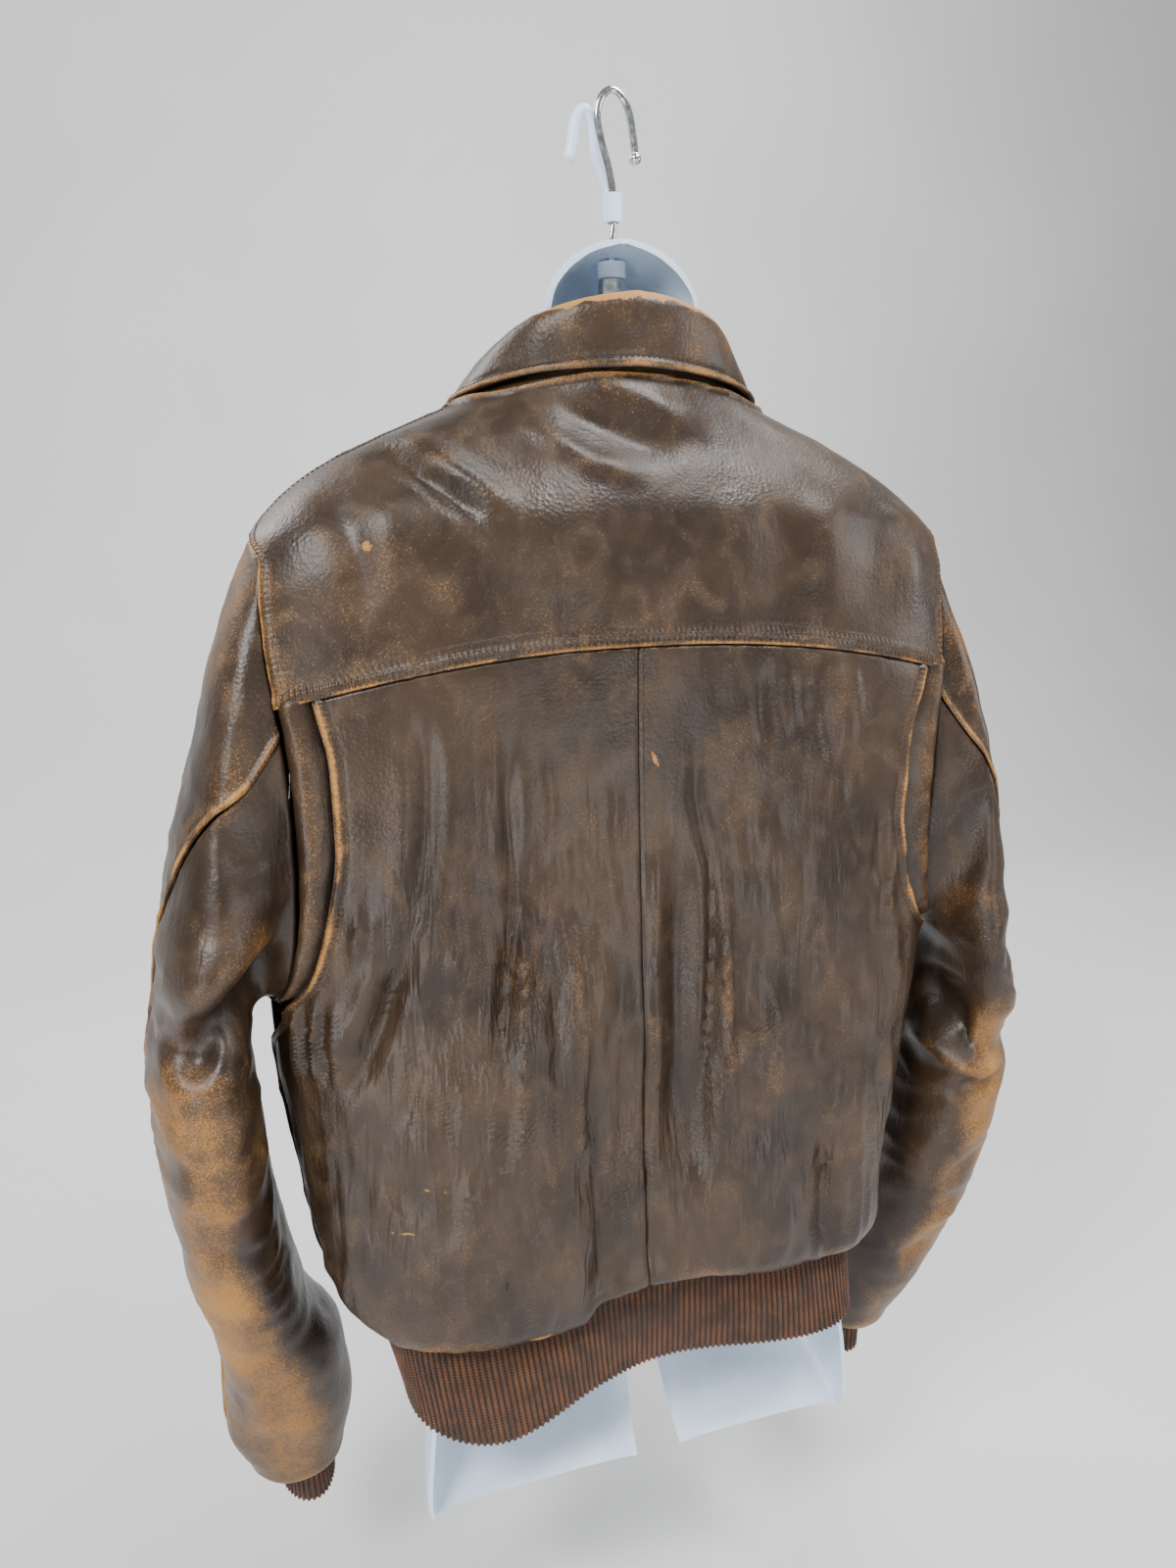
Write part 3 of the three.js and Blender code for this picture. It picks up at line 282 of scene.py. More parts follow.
# The largest folds are part of a surface itself, as straight runs: x0, z0, x1, z1, half width, height.
BACK_SWELLS = (
    (122, 95, 110, 215, 62, 12), (44, 70, 36, 235, 22, -7), (2, 80, 0, 200, 36, -7),
    (-72, 85, -66, 230, 38, 6), (-120, 70, -108, 160, 20, -6), (-158, 80, -150, 160, 30, 5),
    (150, 335, 40, 240, 42, 5), (120, 600, 20, 530, 30, 4),
)
BACK_FOLDS = (
    Fold(((144, 486), (144, 429), (147, 390), (158, 340), (177, 279), (203, 230)), 8, -3.8, 0.2),
    Fold(((154, 470), (155, 420), (160, 380), (172, 332)), 9, 1.8),
    Fold(((104, 470), (104, 434), (101, 400)), 2.4, 1.0),
    Fold(((91, 466), (96, 416), (94, 366), (96, 337), (105, 296), (115, 225)), 6.5, -4.0, 0.25),
    Fold(((90, 385), (93, 315), (95, 264), (99, 200), (101, 130)), 5, 3.4, 0.3),
    Fold(((-27, 462), (-27, 407), (-37, 361), (-38, 306), (-31, 218), (-28, 130)), 4.5, -3.4, 0.3),
    Fold(((-18, 405), (-17, 363), (-15, 309), (-16, 219), (-18, 90)), 10, -7, 0.35),
    Fold(((-43, 380), (-44, 344), (-46, 284), (-47, 228), (-46, 150)), 6, 4.2, 0.3),
    Fold(((-3, 400), (0, 376), (3, 320), (5, 269), (5, 170)), 5, 2.4),
    Fold(((28, 340), (26, 250), (25, 150)), 5, -2.6), Fold(((60, 360), (58, 260), (62, 150)), 8, 2.8),
    Fold(((76, 340), (72, 250), (70, 170)), 5.5, -2.4), Fold(((52, 350), (51, 300)), 4, -1.8),
    Fold(((-71, 492), (-73, 430)), 6, -1.8), Fold(((-141, 488), (-147, 432)), 3, 1.4),
    Fold(((-92, 490), (-96, 440)), 5, 1.2), Fold(((-118, 470), (-124, 420)), 5, -1.3),
    Fold(((160, 330), (178, 285), (205, 225)), 8, -2.8), Fold(((180, 325), (206, 250)), 9, 2.4),
    Fold(((52, 250), (46, 160), (45, 95), (44, 56)), 4.5, -3.8, 0.25),
    Fold(((-126, 170), (-124, 100), (-122, 52)), 6, -3.6, 0.3),
    Fold(((149, 125), (147, 50)), 4, -1.8), Fold(((108, 125), (108, 50)), 4, -1.8),
    Fold(((-172, 392), (-166, 325)), 6, -3.2), Fold(((-182, 356), (-172, 296)), 3.4, 2.6),
    Fold(((-176, 325), (-188, 262)), 4.5, 2.2), Fold(((-190, 330), (-203, 250)), 5, -2.6),
    Fold(((-66, 330), (-62, 240)), 5, -1.6), Fold(((-84, 280), (-86, 180)), 7, 1.8),
    *(Fold(((x, 300), (x + 2, 268), (x + 1, 232)), 2.3, h) for x, h in
      ((204, 1.9), (209.5, -2), (215, 2.3), (220, -2), (225, 2.2), (230, -1.8))),
)
BACK_CRINKLES = (
    *crinkles(3, 90, (58, 120, 205, 330), -0.1, 52, 3.3, 0.95),
    *crinkles(5, 80, (-200, 90, -45, 300), 0.04, 56, 3.4, 0.9),
    *crinkles(8, 40, (5, 80, 90, 380), 0.0, 70, 3.6, 1.0),
    *crinkles(9, 30, (-195, 300, -40, 470), 0.05, 52, 4.0, 0.8),
)
YOKE_FOLDS = (
    Fold(((78, 640), (67, 633), (33, 613), (-6, 604)), 7.5, 2.6),
    Fold(((45, 670), (35, 665), (1, 652), (-52, 630)), 11, 2.4),
    Fold(((58, 652), (18, 634), (-28, 616)), 9, -2.4),
    Fold(((162, 626), (144, 615), (125, 597), (98, 578)), 7.5, -4.2),
    Fold(((142, 630), (128, 619), (109, 601), (80, 583)), 8.5, 3.0),
    Fold(((186, 600), (176, 560), (172, 520)), 8, -2.2), Fold(((160, 600), (152, 540)), 10, 1.8),
    Fold(((-60, 600), (-50, 512)), 14, 1.2, 0.5), Fold(((-96, 605), (-84, 510)), 13, -1.4, 0.5),
    Fold(((-128, 612), (-116, 506)), 16, 1.8, 0.5), Fold(((-164, 606), (-156, 510)), 14, -1.4, 0.5),
    Fold(((-190, 590), (-198, 500)), 11, 1.4, 0.5), Fold(((-30, 560), (-10, 512)), 12, -0.8, 0.5),
)
FRONT_FOLDS = (
    Fold(((150, 480), (120, 420), (60, 380)), 14, 4), Fold(((-150, 480), (-118, 425), (-60, 385)), 14, 4),
    Fold(((190, 300), (150, 250), (110, 160)), 12, -5), Fold(((-190, 300), (-145, 245), (-105, 150)), 12, -5),
    Fold(((60, 330), (52, 240), (58, 120)), 9, -4), Fold(((-66, 320), (-56, 230), (-60, 110)), 9, -4),
    Fold(((96, 260), (92, 90)), 9, 4), Fold(((-100, 260), (-94, 90)), 9, 4),
    Fold(((150, 190), (156, 70)), 10, 3), Fold(((-150, 190), (-158, 70)), 10, -4),
    *crinkles(13, 40, (30, 90, 200, 300), 0.0, 48, 2.8, 1.0),
    *crinkles(14, 40, (-200, 90, -30, 300), 0.0, 48, 2.8, 1.0),
)
SLEEVE_SWELLS = {
    1: ((232, 366, 284, 322, 26, 9), (226, 334, 288, 284, 20, -13)),
    -1: ((228, 296, 292, 226, 28, 8), (226, 254, 296, 186, 20, -12)),
}
SLEEVE_FOLDS = {  # in |x| and z, on the back of each sleeve
    1: (Fold(((216, 334), (250, 312), (276, 290), (300, 262)), 12, -8, 0.15),
        Fold(((224, 354), (262, 336), (296, 304)), 12, 5),
        Fold(((262, 250), (254, 170)), 14, 3),
        Fold(((306, 190), (276, 170), (250, 172)), 7, 2.4),
        Fold(((300, 150), (272, 132), (246, 128)), 7, -2.4),
        Fold(((292, 96), (262, 84)), 7, 2), Fold(((282, 30), (250, 44)), 8, -2.4),
        Fold(((262, 430), (252, 380)), 12, -2.4), Fold(((270, 20), (262, -50)), 8, 2)),
    -1: (Fold(((246, 246), (256, 214), (268, 178)), 9, -9, 0.25),
         Fold(((240, 196), (256, 174), (276, 166), (300, 170)), 6, 5, 0.25),
         Fold(((256, 156), (276, 152), (298, 156)), 6.5, -5), Fold(((252, 340), (258, 255)), 13, 4),
         Fold(((276, 300), (284, 220)), 10, -3), Fold(((296, 120), (264, 100)), 8, 2.5),
         Fold(((300, 90), (262, 66)), 8, -2.5), Fold(((288, 30), (250, 20)), 8, 2.2),
         Fold(((270, 0), (240, -20)), 7, -2.2)),
}


def swell(x: Array, z: Array, run: tuple[float, ...]) -> Array:
    """The lift of one straight run at x, z."""
    x0, z0, x1, z1, width, height = run
    dx, dz = x1 - x0, z1 - z0
    t = clamp(((x - x0) * dx + (z - z0) * dz) / (dx * dx + dz * dz))
    away = np.hypot(x - x0 - t * dx, z - z0 - t * dz)
    return height * bell(away, width)


# ------------------------------------------------------------------ the torso surface

class Torso:
    """The jacket's body as rings along a station that runs from the hem's fold to the neck seam."""

    ring = sections("left right back front side zback zfront square_back square_front", [
        [0, 190, 177, 97, 95, 76, 80, 78, 4.5, 3.0], [10, 195, 182, 102, 97, 61, 65, 64, 4.3, 3.0],
        [19, 203, 189, 108, 101, 59, 63, 62, 4.1, 3.0], [34, 210, 195, 113, 106, 71, 75, 74, 3.9, 3.0],
        [75, 219, 204, 113, 112, 112, 112, 112, 3.5, 2.9], [150, 230, 220, 108, 118, 186, 186, 186, 3.3, 2.8],
        [245, 240, 238, 103, 124, 282, 282, 280, 3.3, 2.7],
        [330, 243, 243, 100, 126, 366, 368, 362, 3.6, 2.7],
        [430, 244, 244, 97, 117, 462, 470, 448, 4.0, 2.7], [500, 242, 242, 92, 96, 530, 547, 498, 3.7, 2.5],
        [530, 236, 238, 89, 84, 564, 583, 520, 3.1, 2.3], [550, 222, 226, 83, 74, 583, 603, 538, 2.6, 2.2],
        [600, 180, 182, 72, 58, 616, 628, 562, 2.2, 2.1], [650, 114, 118, 65, 48, 645, 654, 585, 2.0, 2.0],
        [690, 72, 77, 60, 46, 664, 676, 604, 2.0, 2.0],
    ])
    hem_drop = staticmethod(through([-240, -190, -140, -60, 0, 44, 56, 100, 170, 210, 240],
                                    [-4, 6, 6, -3, -8, -2, 12, 8, 4, -10, -14]))

    def plain(self, u: Array, v: Array) -> Array:
        """The surface with no folds, at angle u and station v."""
        c, s = np.cos(u), np.sin(u)
        back, k = s > 0, self.ring
        n = np.where(back, k["square_back"](v), k["square_front"](v))
        reach = squared(c, s, n)
        x = np.where(c > 0, k["left"](v), k["right"](v)) * reach * c
        y = SIDE_Y + np.where(back, k["back"](v), k["front"](v)) * reach * s
        z = mix(k["side"](v), np.where(back, k["zback"](v), k["zfront"](v)), s * s)
        drop = self.hem_drop(x) * (1 - ease(v / 110)) * ease(s * 1.6)
        return np.stack([x, y, z - np.where(back, drop, 0)], -1)

    def point(self, u: Array, v: Array) -> Array:
        """The surface with its largest folds."""
        u, v = np.broadcast_arrays(np.asarray(u, float), np.asarray(v, float))
        p = self.plain(u, v)
        lift = sum(swell(p[..., 0], p[..., 2], run) for run in BACK_SWELLS)
        share = ease(np.sin(u) * 2.2) * np.where(lift < 0, ease((v - 10) / 50), 1)
        out = normals_of(self.plain, u, np.maximum(v, HEM_TURN), 1e-3, 0.5)
        return p + out * (lift * share)[..., None]

    def normal(self, u: Array, v: Array) -> Array:
        """Outward normals of the surface."""
        return normals_of(self.point, u, v, 1e-3, 0.5)

    def locate(self, x: Array, z: Array, back: bool = True) -> Pair:
        """The angle and station at places of the x-z view, on the back or the front."""
        x, z = np.broadcast_arrays(np.asarray(x, float), np.asarray(z, float))
        v, u = np.full(x.shape, 300.0), np.ones(x.shape)
        square = self.ring["square_back" if back else "square_front"]
        for _ in range(12):
            n = square(v)
            wide = np.where(x > 0, self.ring["left"](v), self.ring["right"](v))
            across = np.minimum(0.9999, np.abs(x) / wide)
            deep = (1 - across ** n) ** (1 / n)
            u = np.arctan2(deep, np.where(x > 0, across, -across)) * (1 if back else -1)
            low, high = np.full(x.shape, 30.0), np.full(x.shape, float(NECK_STATION))
            for _ in range(24):
                half = (low + high) / 2
                below = self.plain(u, half)[..., 2] < z
                low, high = np.where(below, half, low), np.where(below, high, half)
            v = (low + high) / 2
        return u, v

    def seam(self, places: Line, back: bool = True, ends: Line = ()) -> Callable:
        """A seam through places of the x-z view, as a curve of angle and station."""
        u, v = self.locate(*np.array(places, float).T, back)
        u, v = np.append(u, [e[0] for e in ends]), np.append(v, [e[1] for e in ends])
        at = np.linspace(0, 1, len(u))
        angle, station = through(at, u), through(at, v)
        return lambda t: (angle(t), station(t))


def across(places: Line, side: int) -> Line:
    """Places given for the wearer's left, on either side."""
    return tuple((side * x, z) for x, z in places)


torso = Torso()
ARMHOLES = {side: (
    torso.seam(across(((237, 284), (231, 297), (224, 330), (221, 380), (222, 430), (226, 474),
                       (229, 502), (230, 530), (228, 556)), side),
               True, ((0.0 if side > 0 else math.pi, SHOULDER_TIP),)),
    torso.seam(across(((237, 284), (230, 300), (218, 350), (210, 410), (209, 460), (214, 505),
                       (221, 545)), side),
               False, ((0.0 if side > 0 else -math.pi, SHOULDER_TIP),)),
) for side in (1, -1)}
PLEAT_SEAMS = {
    1: torso.seam(((233, 281), (218, 304), (205, 345), (198, 395), (199, 440), (206, 480))),
    -1: torso.seam(across(((231, 281), (210, 304), (194, 342), (188, 390), (192, 436), (206, 480)), -1)),
}


def yoke_seam(x: Array) -> Array:
    """The height of the yoke's lower seam at x."""
    return YOKE_Z - YOKE_DROP * (np.abs(x) / YOKE_HALF) ** 2.2


def up_from(t: Array, top: Array) -> Array:
    """Stations from the hem up to a panel's top, with a fixed share of them in the hem's fold."""
    above = mix(HEM_TURN, top, (t - FOLD_SHARE) / (1 - FOLD_SHARE))
    return np.where(t < FOLD_SHARE, mix(0, HEM_TURN, t / FOLD_SHARE), above)


def outer_edge(along: Callable, share: float, angle: float) -> Callable:
    """A torso panel's outer edge: up the side seam for a share of it, then along a seam."""
    first, join = along(np.array(0.0))
    fold = share * 0.42

    def edge(t: Array) -> Pair:
        """Angle and station at t, with the last of the side seam turned towards the next one."""
        u, v = along(clamp((t - share) / (1 - share)))
        above = mix(HEM_TURN, join, (t - fold) / (share - fold))
        station = np.where(t < fold, mix(0, HEM_TURN, t / fold), above)
        turned = mix(angle, first, ease((t - share + UNDERARM_TURN) / UNDERARM_TURN))
        return np.where(t >= share, u, turned), np.where(t >= share, v, station)

    return edge


# ------------------------------------------------------------------ finishes

class Canvas:
    """A material's node tree, with short calls to add and join nodes."""

    def __init__(self, name: str) -> None:
        self.material = bpy.data.materials.new(name)
        self.material.use_nodes = True
        self.nodes, self.links = self.material.node_tree.nodes, self.material.node_tree.links
        self.shader = self.nodes["Principled BSDF"]
        self.place = self.nodes.new("ShaderNodeTexCoord").outputs["Object"]

    def plug(self, source: object, socket: Socket) -> None:
        """Links a socket, or sets a plain value."""
        if isinstance(source, Socket):
            self.links.new(source, socket)
        elif source is not None:
            socket.default_value = source

    def math(self, kind: str, a: object, b: object = None, c: object = None) -> Socket:
        """A Math node."""
        node = self.nodes.new("ShaderNodeMath")
        node.operation = kind
        for value, socket in zip((a, b, c), node.inputs):
            self.plug(value, socket)
        return node.outputs[0]

    def plus(self, a: object, b: object) -> Socket:
        """A sum."""
        return self.math("ADD", a, b)

    def times(self, a: object, b: object) -> Socket:
        """A product."""
        return self.math("MULTIPLY", a, b)

    def noise(self, scale: float, detail: float = 2.0, distortion: float = 0.0,
              stretch: Triple = (1, 1, 1)) -> Socket:
        """A noise texture on the object's coordinates, stretched along its axes."""
        node = self.nodes.new("ShaderNodeTexNoise")
        node.inputs["Scale"].default_value = scale
        node.inputs["Detail"].default_value = detail
        node.inputs["Distortion"].default_value = distortion
        self.plug(self.stretched(stretch), node.inputs["Vector"])
        return node.outputs["Fac"]

    def cells(self, scale: float, feature: str = "F1") -> Socket:
        """A cell texture's distance."""
        node = self.nodes.new("ShaderNodeTexVoronoi")
        node.feature = feature
        node.inputs["Scale"].default_value = scale
        self.plug(self.place, node.inputs["Vector"])
        return node.outputs["Distance"]

    def stretched(self, scale: Triple) -> Socket:
        """The object's coordinates, scaled along each axis."""
        if scale == (1, 1, 1):
            return self.place
        node = self.nodes.new("ShaderNodeMapping")
        node.inputs["Scale"].default_value = scale
        self.plug(self.place, node.inputs["Vector"])
        return node.outputs["Vector"]

    def attribute(self, name: str) -> Socket:
        """A value that the mesh carries at its points."""
        node = self.nodes.new("ShaderNodeAttribute")
        node.attribute_name = name
        return node.outputs["Fac"]

    def ramp(self, value: object, low: float, high: float, to_low: float = 0.0,
             to_high: float = 1.0) -> Socket:
        """A smooth map of a value from low..high to to_low..to_high."""
        node = self.nodes.new("ShaderNodeMapRange")
        node.interpolation_type = "SMOOTHSTEP"
        for socket, v in zip(node.inputs, (value, low, high, to_low, to_high)):
            self.plug(v, socket)
        return node.outputs["Result"]

    def blend(self, share: object, a: object, b: object, kind: str = "MIX") -> Socket:
        """A colour from a to b."""
        node = self.nodes.new("ShaderNodeMix")
        node.data_type, node.blend_type = "RGBA", kind
        self.plug(share, node.inputs["Factor"])
        for value, socket in ((a, node.inputs[6]), (b, node.inputs[7])):
            self.plug((*value, 1.0) if isinstance(value, tuple) else value, socket)
        return node.outputs[2]

    def nick(self, a: Triple, b: Triple, width: float) -> Socket:
        """A mask of a small scuff from a to b, in the garment's frame, with a ragged edge."""
        start, end = ((np.array(k) + SHIFT) * MM for k in (a, b))
        span = end - start
        length = float(np.linalg.norm(span)) + 1e-6
        offset = self.nodes.new("ShaderNodeVectorMath")
        offset.operation = "SUBTRACT"
        self.plug(self.place, offset.inputs[0])
        offset.inputs[1].default_value = ((start + end) / 2).tolist()
        along = self.nodes.new("ShaderNodeVectorMath")
        along.operation = "DOT_PRODUCT"
        self.plug(offset.outputs["Vector"], along.inputs[0])
        along.inputs[1].default_value = (span / length).tolist()
        away = self.nodes.new("ShaderNodeVectorMath")
        away.operation = "LENGTH"
        self.plug(offset.outputs["Vector"], away.inputs[0])
        near = self.times(away.outputs["Value"], away.outputs["Value"])
        run = self.times(along.outputs["Value"], along.outputs["Value"])
        cross = self.math("DIVIDE", self.math("SUBTRACT", near, run), (width * MM) ** 2)
        total = self.plus(cross, self.math("DIVIDE", run, (length / 2) ** 2))
        ragged = self.plus(total, self.math("MULTIPLY_ADD", self.noise(900, 3), 3.0, -1.5))
        return self.ramp(ragged, 0.5, 1.1, 1.0, 0.0)

    def bump(self, height: object, distance: float, below: object = None) -> Socket:
        """A bump of a height in metres, over another bump."""
        node = self.nodes.new("ShaderNodeBump")
        node.inputs["Distance"].default_value = distance
        self.plug(height, node.inputs["Height"])
        self.plug(below, node.inputs["Normal"])
        return node.outputs["Normal"]

    def finish(self, colour: object, roughness: object, normal: object = None, **fixed: float) -> Material:
        """Plugs the shader, with its uniform values set on its own sockets."""
        self.plug((*colour, 1.0) if isinstance(colour, tuple) else colour, self.shader.inputs["Base Color"])
        self.plug(roughness, self.shader.inputs["Roughness"])
        self.plug(normal, self.shader.inputs["Normal"])
        for name, value in fixed.items():
            self.shader.inputs[name.replace("_", " ")].default_value = value
        return self.material


@dataclass(frozen=True)
class WornLeather:
    """Dark brown grain leather, rubbed through to tan where its wear is high, with a few nicks and painted
    shade in its hollows.
    """

    dark: Triple = (0.020, 0.0105, 0.0050)
    brown: Triple = (0.043, 0.0248, 0.0130)
    grey: Triple = (0.068, 0.043, 0.024)
    gold: Triple = (0.21, 0.098, 0.026)
    tan: Triple = (0.41, 0.19, 0.042)
    # painted shade, laid over the hollows of folds, seams and grooves
    painted_shade: Triple = (0.008, 0.005, 0.004)
    pebble: float = 0.00013  # height of the grain's pebbles, in metres
    wrinkle: float = 0.0002  # height of the fine wrinkles, in metres
    pucker: float = 3.7  # length of one pucker along a seam, in mm
    nicks: tuple = (  # both ends and half width, in the garment's frame
        ((197, 83, 421), (193, 84, 408), 2.2), ((3, 96, 438), (-1, 96, 429), 1.6),
        ((172, 76, 569), (168, 78, 564), 3.0), ((309, 43, 283), (308, 52, 277), 1.8),
        ((162, 103, 174), (142, 109, 171), 1.2), ((184, 94, 143.5), (163, 104, 143), 0.8),
        ((96, 114, 58), (76, 116, 54), 3.2), ((289, -22, -42), (285, -4, -46), 1.4),
        ((60, 100, 300), (52, 100, 262), 0.5), ((-120, 92, 420), (-126, 94, 402), 0.5))

    def build(self) -> Material:
        """The material."""
        c = Canvas("worn_leather")
        wear, hollow, grain = c.attribute("wear"), c.attribute("hollow"), c.attribute("grain")
        patches, clouds = c.noise(14, 4, 0.5), c.noise(46, 4, 0.8, (1, 1, 0.8))
        speckle, dots, creased = c.noise(800, 4), c.noise(1500, 3), c.attribute("creased")
        # soft patches of brown and grey on the dark ground
        colour = c.blend(c.ramp(patches, 0.36, 0.66), self.dark, self.brown)
        colour = c.blend(c.times(c.ramp(clouds, 0.44, 0.72), 0.4), colour, self.grey)
        # speckles of tan, more of them the more the leather is rubbed, over a golden haze
        rubbed = c.plus(c.times(speckle, 0.85), c.times(dots, 0.75))
        rubbed = c.plus(rubbed, c.times(clouds, 0.45))
        rubbed = c.plus(c.math("SUBTRACT", rubbed, 1.02), c.times(wear, 0.62))
        mask = c.ramp(rubbed, 0.17, 0.66)
        colour = c.blend(c.ramp(c.plus(wear, c.times(clouds, 0.3)), 0.35, 1.15, 0.0, 0.75),
                         colour, self.gold)
        for nick in self.nicks:
            mask = c.math("MAXIMUM", mask, c.nick(*nick))
        colour = c.blend(c.times(mask, 0.85), colour, self.tan)
        # painted shade darkening the hollows of folds, seams and grooves, and a duller surface where the tan
        # shows
        colour = c.blend(c.ramp(hollow, 0.0, 1.0, 0.0, 0.6), colour, self.painted_shade)
        rough = c.plus(c.ramp(clouds, 0.3, 0.75, 0.36, 0.47), c.times(mask, 0.22))
        # upright creases, then puckers along the seams, fine wrinkles, pebbles and speckle
        upright = c.noise(95, 2, 0.4, (1, 1, 0.13))
        sharp = c.math("SUBTRACT", 1.0, c.math("ABSOLUTE", c.math("MULTIPLY_ADD", upright, 5.0, -2.5)))
        both = c.plus(sharp, c.times(c.noise(230, 2, 0.4, (1, 1, 0.22)), 0.6))
        wrinkles = c.bump(c.times(both, creased), 0.0006)
        puckers = c.math("SINE", c.times(c.attribute("seam_run"), 2 * math.pi / self.pucker))
        wrinkles = c.bump(c.times(puckers, c.attribute("seam_band")), 0.0005, wrinkles)
        wrinkles = c.bump(c.noise(120, 5, 1.2, (1, 1, 0.5)), self.wrinkle, wrinkles)
        pebbles = c.times(c.cells(400), c.plus(grain, 0.1))
        normal = c.bump(pebbles, self.pebble * 3.6, wrinkles)
        normal = c.bump(speckle, self.pebble, normal)
        return c.finish(colour, rough, normal, IOR=1.47)


@dataclass(frozen=True)
class FleshSide:
    """The matt inner face of the leather."""

    low: Triple = (0.035, 0.022, 0.015)
    high: Triple = (0.07, 0.045, 0.03)

    def build(self) -> Material:
        """The material."""
        c = Canvas("leather_flesh_side")
        colour = c.blend(c.ramp(c.noise(60, 4), 0.3, 0.7), self.low, self.high)
        return c.finish(colour, 0.85, c.bump(c.noise(1400, 3), 0.0003), IOR=1.4)


@dataclass(frozen=True)
class RibKnit:
    """Rust-brown ribbed wool, with painted shade in the valleys between its ribs."""

    low: Triple = (0.045, 0.0135, 0.003)
    high: Triple = (0.125, 0.041, 0.0085)
    painted_shade: Triple = (0.008, 0.003, 0.001)

    def build(self) -> Material:
        """The material: V-shaped loops run up every rib, from the piece's UV map."""
        c = Canvas("rib_knit")
        node = c.nodes.new("ShaderNodeUVMap")
        split = c.nodes.new("ShaderNodeSeparateXYZ")
        c.plug(node.outputs["UV"], split.inputs[0])
        rib = c.math("PINGPONG", split.outputs["X"], 0.5)
        phase = c.plus(c.times(split.outputs["Y"], 3.3), c.times(rib, 5.0))
        loops = c.math("SINE", phase)
        hollow = c.attribute("hollow")
        colour = c.blend(c.ramp(c.noise(70, 3), 0.3, 0.7), self.low, self.high)
        fuzz = c.ramp(c.plus(loops, c.noise(1500, 2)), -0.6, 1.6)
        colour = c.blend(fuzz, c.blend(0.3, colour, self.low), colour)
        # painted shade: the valleys between the ribs darkened nearly to black
        colour = c.blend(c.ramp(hollow, 0.15, 0.9, 0.0, 0.95), colour, self.painted_shade)
        normal = c.bump(c.noise(2400, 3), 0.0002, c.bump(loops, 0.00018))
        return c.finish(colour, 0.88, normal, Sheen_Weight=0.15, Sheen_Roughness=0.5, IOR=1.45)


@dataclass(frozen=True)
class Woven:
    """Plain woven tape or thread."""

    name: str
    low: Triple
    high: Triple

    def build(self) -> Material:
        """The material."""
        c = Canvas(self.name)
        weave = c.cells(1500)
        colour = c.blend(c.ramp(c.noise(500, 3), 0.3, 0.7), self.low, self.high)
        return c.finish(colour, 0.8, c.bump(weave, 0.0003), IOR=1.45)


@dataclass(frozen=True)
class MouldedPlastic:
    """Cool white semi-gloss plastic, a little scuffed."""

    colour: Triple = (0.62, 0.74, 0.90)

    def build(self) -> Material:
        """The material."""
        c = Canvas("moulded_plastic")
        paler = tuple(min(1, k * 1.14) for k in self.colour)
        colour = c.blend(c.ramp(c.noise(12, 4), 0.3, 0.75), self.colour, paler)
        rough = c.ramp(c.noise(40, 5, 0.4), 0.3, 0.7, 0.22, 0.4)
        return c.finish(colour, rough, c.bump(c.noise(26, 3), 0.0006), IOR=1.49)


@dataclass(frozen=True)
class Metal:
    """A metal with fine scratches and a little tarnish."""

    name: str
    colour: Triple
    dull: Triple
    roughness: float

    def build(self) -> Material:
        """The material."""
        c = Canvas(self.name)
        colour = c.blend(c.ramp(c.noise(220, 4), 0.42, 0.7), self.colour, self.dull)
        rough = c.ramp(c.noise(320, 4), 0.3, 0.7, self.roughness * 0.7, self.roughness * 1.7)
        return c.finish(colour, rough, c.bump(c.noise(900, 2, 0, (1, 1, 0.1)), 0.00006), Metallic=1.0)


class Finish(Enum):
    """The finishes, by the record's slot where they have one."""

    LEATHER = "leather"
    FLESH = "flesh"
    KNIT = "knit"
    TAPE = "zip_tape"
    THREAD = "thread"
    PLASTIC = "form_plastic"
    STEEL = "hook_steel"
    BRASS = "zip_metal"


Finishes = dict[Finish, Material]


def make_finishes() -> Finishes:
    """Builds every material once."""
    return {
        Finish.LEATHER: WornLeather().build(),
        Finish.FLESH: FleshSide().build(),
        Finish.KNIT: RibKnit().build(),
        Finish.TAPE: Woven("zip_tape_weave", (0.02, 0.014, 0.01), (0.045, 0.032, 0.024)).build(),
        Finish.THREAD: Woven("waxed_thread", (0.05, 0.03, 0.018), (0.13, 0.08, 0.045)).build(),
        Finish.PLASTIC: MouldedPlastic().build(),
        Finish.STEEL: Metal("polished_steel", (0.62, 0.63, 0.64), (0.42, 0.41, 0.38), 0.16).build(),
        Finish.BRASS: Metal("aged_brass", (0.42, 0.32, 0.17), (0.16, 0.11, 0.06), 0.32).build(),
    }


# ------------------------------------------------------------------ meshes

def put(name: str, data: bpy.types.ID) -> Object:
    """A new object in the scene."""
    made = bpy.data.objects.new(name, data)
    bpy.context.scene.collection.objects.link(made)
    return made


def smooth(mesh: bpy.types.Mesh, sharp: float) -> None:
    """Shades a mesh smoothly, but for its edges over an angle in degrees."""
    mesh.shade_smooth()
    mesh.set_sharp_from_angle(angle=math.radians(sharp))


def face_out(mesh: bpy.types.Mesh) -> None:
    """Turns the faces of a closed mesh outwards."""
    bm = bmesh.new()
    bm.from_mesh(mesh)
    bmesh.ops.recalc_face_normals(bm, faces=bm.faces)
    bm.to_mesh(mesh)
    bm.free()


def modified(obj: Object) -> bpy.types.Mesh:
    """The plain mesh that an object's modifiers make; the modifiers are then taken away."""
    graph = bpy.context.evaluated_depsgraph_get()
    mesh = bpy.data.meshes.new_from_object(obj.evaluated_get(graph))
    obj.modifiers.clear()
    return mesh


